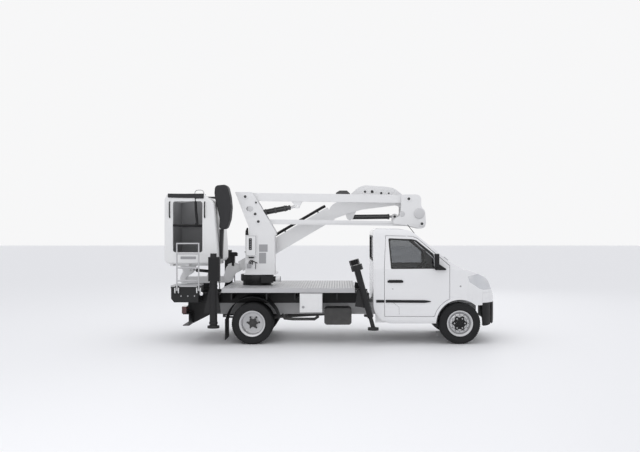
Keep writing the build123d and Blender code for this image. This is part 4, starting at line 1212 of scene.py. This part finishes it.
@dataclass
class Boom:
    """Hose duct, clamps, bosses and pin heads of the arms.

    Attributes:
        start: x and z of a point on the boom's middle line.
        angle: slope of the boom in degrees.
        y: the boom's middle plane.
        elbow: y of the elbow's near face.
        lift: x and z of the lift cylinder's lower pin and of a point further up its barrel.
    """

    start: Flat = (-0.863, 1.558)
    angle: float = 30.4
    y: float = 0.140
    elbow: float = -0.2345
    lift: tuple[Flat, Flat] = ((-1.238, 2.049), (-0.558, 2.180))

    def at(self, distance: float, above: float) -> Flat:
        """Finds a point by its place along the boom.

        Args:
            distance: distance up the boom.
            above: height above its middle line.

        Returns:
            Its x and z.
        """
        a = radians(self.angle)
        x, z = self.start
        return (x + distance * cos(a) - above * sin(a), z + distance * sin(a) + above * cos(a))

    def build(self) -> None:
        """Builds everything on the booms."""
        line = (self.at(*p) for p in ((-0.585, 0.160), (-0.50, 0.162), (0.90, 0.162), (0.98, 0.158)))
        Shape().tube([(x, self.y, z) for x, z in line], 0.024, 20).made(
            "hose_duct", TRIM_BLACK, "boom", 0.004)
        x, z = self.at(-0.46, 0.150)
        slope = Matrix.Rotation(radians(-self.angle), 4, "Y")
        Copies("duct_clamps", Repeat.BLOCK, TRIM_BLACK, "boom", [Matrix.Translation((x, self.y, z)) @ slope],
               (0.022, 0.058, 0.074), 0.003).row(5, (0.320, 0, 0))
        straps = Shape()
        for side in (-1, 1):
            middle = self.y + side * 0.0925
            straps.prism([self.at(*p) for p in oblong((-0.598, -0.540), (-0.10, 0.10))], "Y",
                         middle - 0.004, middle + 0.004)
        straps.made("boom_mouth_straps", BOOM_WHITE, "boom", 0.002)
        # The elbow bosses are the boom's white made darker: painted shade
        bosses = Shape()
        for x, z, radius, height in ((1.446, 2.057, 0.088, 0.020), (1.168, 2.050, 0.045, 0.012)):
            bosses.dome((x, self.elbow, z), (0, -1, 0), radius, height)
        bosses.made("elbow_bosses", BOSS_PAINTED_SHADE, "elbow")
        pin_head("elbow_pin_e1", (1.276, self.elbow - 0.012, 2.297), "elbow")
        pin_head("elbow_pin_e2", (1.491, self.elbow - 0.012, 1.889), "elbow")
        pin_head("elbow_pin_eye", (1.070, 0.0965, 2.011), "elbow", 0.020)
        self.head_rest()
        self.barrel_pipes()
        wedge = [(0.082, 2.374), (0.313, 2.371), (0.313, 2.392), (0.262, 2.437), (0.142, 2.437),
                 (0.082, 2.400)]
        Shape().prism(rounded(wedge, 0.008, 3), "Y", -0.170, -0.090).made(
            "boom_rest", CYLINDER_BLACK, "lower_arm", 0.003)

    def head_rest(self) -> None:
        """Makes the black rest that stands on the boom head."""
        stem = [(-1.664, 1.185), (-1.624, 1.180), (-1.618, 1.352), (-1.660, 1.352)]
        top = [(-1.697, 1.352), (-1.570, 1.346), (-1.570, 1.398), (-1.590, 1.414), (-1.697, 1.414)]
        Shape().prism(stem, "Y", 0.040, 0.0555).prism(rounded(top, 0.010, 3), "Y", 0.020, 0.110).made(
            "head_rest", TRIM_BLACK, "boom_head", 0.003)

    def barrel_pipes(self) -> None:
        """Makes the two pipes clamped along the lift cylinder's barrel."""
        start, end = (Vector(p) for p in self.lift)
        run = (end - start).normalized()
        up = Vector((-run.y, run.x))
        shape = Shape()
        for above in (0.034, -0.034):
            line = (start + run * d + up * above for d in (0.13, 0.53))
            shape.tube([(p.x, -0.160, p.y) for p in line], 0.0105, 12)
        for d in (0.17, 0.33, 0.49):
            clamp = [start + run * (d + u) + up * v for u, v in oblong((-0.012, 0.012), (-0.050, 0.050))]
            shape.prism([tuple(p) for p in clamp], "Y", -0.174, -0.145)
        shape.made("barrel_pipes", CYLINDER_BLACK, "lift_barrel", 0.002)


@dataclass
class Basket:
    """Painted shade inside, top band, handles and bars of the work basket.

    Attributes:
        entry_x: where the entry starts and ends.
        entry_z: the same in height.
        rail: y of the bars across the entry.
    """

    entry_x: Flat = (-2.512, -2.034)
    entry_z: Flat = (1.429, 2.250)
    rail: float = -0.604

    def build(self) -> None:
        """Builds everything on the basket."""
        self.liner()
        self.band_and_bars()
        self.handles()

    def liner(self) -> None:
        """Makes a dark grey sheet over the inside of the walls and the floor, which is painted shade, and the
        entry's pale edge.
        """
        outer = [(-1.8945, 2.205), (-1.8345, 1.440), (-1.8345, 1.315), (-1.8625, 1.2845), (-2.5825, 1.2845),
                 (-2.6105, 1.3175), (-2.6105, 2.255)]
        inner = [(-1.8975, 2.205), (-1.8375, 1.440), (-1.8375, 1.3165), (-1.8640, 1.2875), (-2.5810, 1.2875),
                 (-2.6075, 1.3190), (-2.6075, 2.255)]
        # A thin dark grey sheet over the inner walls and floor: painted shade of the basket's inside
        shape = Shape().prism(outer + inner[::-1], "Y", -0.586, 0.586)
        shape.prism(inner + [(-2.30, 2.300), (-2.02, 2.300)], "Y", 0.5830, 0.5880)
        shape.made("basket_liner", PAINTED_SHADE_GREY, "basket")
        corners = oblong(self.entry_x, self.entry_z)
        loops = [[(x, -0.5885, z) for x, z in rounded(grown(corners, amount), radius, 8)]
                 for amount, radius in ((0.030, 0.062), (-0.004, 0.046))]
        Shape().ring(*loops, (0, -1, 0), (-0.004, 0.034)).made("entry_edge", BASKET_WHITE, "basket", 0.003)

    def band_and_bars(self) -> None:
        """Makes the top band and its hoop, and the bar, latch and rail across the entry."""
        band = rounded([(-2.586, 2.304), (-2.330, 2.296), (-2.165, 2.296), (-2.150, 2.288), (-2.016, 2.288),
                        (-2.014, 2.368), (-2.330, 2.365), (-2.588, 2.368)], 0.014)
        Shape().prism(band, "Y", -0.634, self.rail).made("top_band", HOOD_GREY, "basket", 0.006)
        arch = ((-2.163, 2.362), (-2.160, 2.392), (-2.142, 2.416), (-2.110, 2.424), (-2.068, 2.424),
                (-2.036, 2.416), (-2.020, 2.392), (-2.018, 2.362))
        Shape().tube([(x, -0.600, z) for x, z in arch], 0.0065, 10).made("hoop", STEEL, "basket")
        bar = [(-2.150, self.rail, 2.300), (-2.143, -0.606, 2.10), (-2.120, -0.606, 1.880)]
        Shape().tube(bar, 0.020, 14).made("entry_bar", TRIM_BLACK, "basket", 0.003)
        Shape().dome((-2.140, self.rail, 1.870), (0, -1, 0), 0.026, 0.018).made(
            "entry_latch", TRIM_BLACK, "basket")
        Shape().tube([(-2.508, self.rail, 1.862), (-2.110, self.rail, 1.862)], 0.017, 14).made(
            "entry_rail", TRIM_BLACK, "basket", 0.003)

    def handles(self) -> None:
        """Makes the two grab handles and the bare plate below the entry."""
        grip = ((-0.617, 2.236), (-0.640, 2.226), (-0.652, 2.200), (-0.652, 2.020), (-0.640, 1.994),
                (-0.617, 1.984))
        for index, x in enumerate((-2.556, -2.000)):
            Shape().tube([(x, y, z) for y, z in grip], 0.0095, 12).made(
                f"grab_handle_{index}", TRIM_BLACK, "basket", 0.002)
        plate = oblong((-2.385, -2.140), (1.325, 1.368), 0.006)
        Shape().prism(plate, "Y", -0.6225, -0.6185).made("basket_plate", PLATE_GREY, "basket", 0.001)


@dataclass
class RearJack(Sided):
    """Collars, cover, cap bolts and pipe of a rear jack.

    Attributes:
        x: x of the jack's axis.
        half: y of that axis, on the left.
    """

    x: float = -1.822
    half: float = 0.870

    def build(self) -> None:
        """Builds everything on the jack's fixed tube."""
        x, y = self.x, self.side * self.half
        collars = Shape()
        for radius, height, z in ((0.067, 0.030, 0.330), (0.066, 0.024, 0.905)):
            section = [(0.0592, 0.0), (radius, 0.0), (radius, height), (0.0592, height)]
            collars.lathe(section, (x, y, z), (0, 0, 1), 40)
        collars.made(f"jack_collars_{self.name}", FRAME_BLACK, "truck", 0.002)
        face = self.side * (self.half + 0.060)
        cover = oblong((x - 0.060, x + 0.086), (1.010, 1.352), 0.012)
        Shape().prism(cover, "Y", face - self.side * 0.002, face + self.side * 0.004).made(
            f"jack_cover_{self.name}", TRIM_BLACK, "truck", 0.002)
        Copies(f"jack_cap_bolts_{self.name}", Repeat.HEX, STEEL, "truck", [Matrix.Translation((x, y, 1.426))],
               (0.012, 0.012, 0.008), 0.001).ring(4, 0.036)
        pipe = ((0.085, 0.880, 1.000), (0.095, 0.880, 0.960), (0.098, 0.870, 0.860), (0.085, 0.840, 0.800),
                (0.050, 0.780, 0.740))
        Shape().tube([(x + along, self.side * out, z) for along, out, z in pipe], 0.008, 10).made(
            f"jack_pipe_{self.name}", TRIM_BLACK, "truck")


@dataclass
class RearEnd:
    """Lids, hinge caps, bolts and the round lamp behind the deck.

    Attributes:
        lid_x: where the lids of the corner boxes start and end.
        lid_y: the same across, on the left.
        ladder_x: x of the ladder's two posts.
    """

    lid_x: Flat = (-2.4935, -2.0535)
    lid_y: Flat = (0.4135, 0.8515)
    ladder_x: Flat = (-2.390, -2.050)

    def build(self) -> None:
        """Builds everything at the rear end, with its two jacks."""
        lids = Shape()
        for side in SIDES.values():
            lids.block(self.lid_x, tuple(sorted(side * y for y in self.lid_y)), (0.9015, 0.9245))
        lids.made("box_lids", LADDER_GREY, "truck", 0.004)
        cap = rounded([(-0.9105, 0.818), (-0.8620, 0.800), (-0.8620, 0.893), (-0.9105, 0.892)], 0.010, 4)
        caps = Shape()
        for x in self.ladder_x:
            for cheek in (-0.0275, 0.0275):
                caps.prism(cap, "X", x + cheek - 0.0065, x + cheek + 0.0065)
        caps.made("hinge_caps", BOX_WHITE, "truck", 0.002)
        Copies("corner_bolts", Repeat.ROUND, STEEL, "truck",
               [facing(-2.330, side * 0.851, 0.760, side) for side in (-1, 1)],
               (0.020, 0.020, 0.008), 0.001).row(3, (0.105, 0.0, 0))
        for name, side in SIDES.items():
            RearJack(name, side).build()
        Shape().dome((-2.014, -0.8495, 0.796), (0, -1, 0), 0.030, 0.016).made(
            "round_lamp", replace(MIRROR, slot="lamp_lens"), "truck")


@dataclass
class Studio:
    """Camera, floor, lights and background.

    Attributes:
        eye: where the camera stands.
        lens: its focal length in millimetres.
        shift: its sideways shift, from the photograph's framing.
        background: colour behind the machine.
        fill: strength of the light from all round.
        lights: place, target, width and power in watts of each soft light.
    """

    eye: Point = (0.115, -12.85, 1.852)
    lens: float = 43.3
    shift: float = -0.028
    background: Point = (0.93, 0.93, 0.935)
    fill: float = 0.84
    lights: tuple[tuple[str, Point, Point, float, float], ...] = (
        ("Overhead", (0.0, 0.0, 6.5), (0.0, 0.0, 0.0), 9.0, 70.0),
        ("Front", (-2.0, -8.5, 5.0), (0.0, 0.0, 1.0), 6.0, 90.0),
        ("Back", (2.0, 8.0, 5.5), (0.0, 0.0, 1.0), 6.0, 60.0))

    def build(self) -> None:
        """Sets up the whole studio."""
        bpy.context.scene.view_settings.view_transform = "Standard"
        self.camera()
        self.floor()
        self.world()
        self.lamps()

    def camera(self) -> None:
        """Places the camera, level and square to the machine's side."""
        camera = new_piece("Camera", bpy.data.cameras.new("Camera"))
        camera.data.sensor_width = 36.0
        camera.data.lens = self.lens
        camera.data.shift_x = self.shift
        camera.data.clip_end = 200.0
        camera.location = self.eye
        camera.rotation_euler = (radians(90), 0, 0)
        bpy.context.scene.camera = camera

    def floor(self, size: float = 60.0) -> None:
        """Lays a plain pale floor.

        Args:
            size: half its width.
        """
        mesh = bpy.data.meshes.new("Floor")
        mesh.from_pydata([(x, y, 0) for x, y in oblong((-size, size), (-size, size))], [], [(0, 1, 2, 3)])
        made = bpy.data.materials.new("floor")
        made.use_nodes = True
        shader = made.node_tree.nodes[SHADER]
        shader.inputs["Base Color"].default_value = toned(self.background)
        shader.inputs["Roughness"].default_value = 0.6
        shader.inputs["Specular IOR Level"].default_value = 0.2
        mesh.materials.append(made)
        new_piece("Floor", mesh)

    def world(self) -> None:
        """Makes a pale background that also fills the shadows."""
        world = bpy.data.worlds.new("Studio")
        world.use_nodes = True
        bpy.context.scene.world = world
        wired(world.node_tree, {
            "Background": ("", {"Color": (0.95, 0.96, 1.0, 1), "Strength": self.fill}),
            "shown": ("ShaderNodeBackground", {"Color": toned(self.background), "Strength": 1.0}),
            "mix": ("ShaderNodeMixShader", {}), "rays": ("ShaderNodeLightPath", {}),
            "first": ("ShaderNodeMath", {"operation": "MAXIMUM"}),
            "second": ("ShaderNodeMath", {"operation": "MAXIMUM"})},
            "rays.Is Camera Ray > first.0, rays.Is Glossy Ray > first.1, first.0 > second.0, "
            "rays.Is Transmission Ray > second.1, second.0 > mix.0, Background.0 > mix.1, shown.0 > mix.2, "
            "mix.Shader > World Output.Surface")

    def lamps(self) -> None:
        """Hangs the square soft lights."""
        for name, place, target, size, power in self.lights:
            data = bpy.data.lights.new(name, "AREA")
            data.shape = "SQUARE"
            data.size = size
            data.energy = power
            light = new_piece(name, data)
            light.location = place
            light.rotation_euler = (Vector(target) - Vector(place)).to_track_quat("-Z", "Y").to_euler()


def main() -> None:
    """Builds the studio and every sub-assembly in order, noting each in the log."""
    logging.basicConfig(level=logging.INFO, format="%(message)s")
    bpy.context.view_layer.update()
    doors, wheels = ([kind(*side) for side in SIDES.items()] for kind in (Door, Wheels))
    for assembly in (Studio(), Frame(), *doors, Cab(), *wheels, Deck(), SlewTower(), Boom(), Basket(),
                     RearEnd()):
        LOG.info("building %s", type(assembly).__name__)
        assembly.build()


if __name__ == "__main__":
    main()
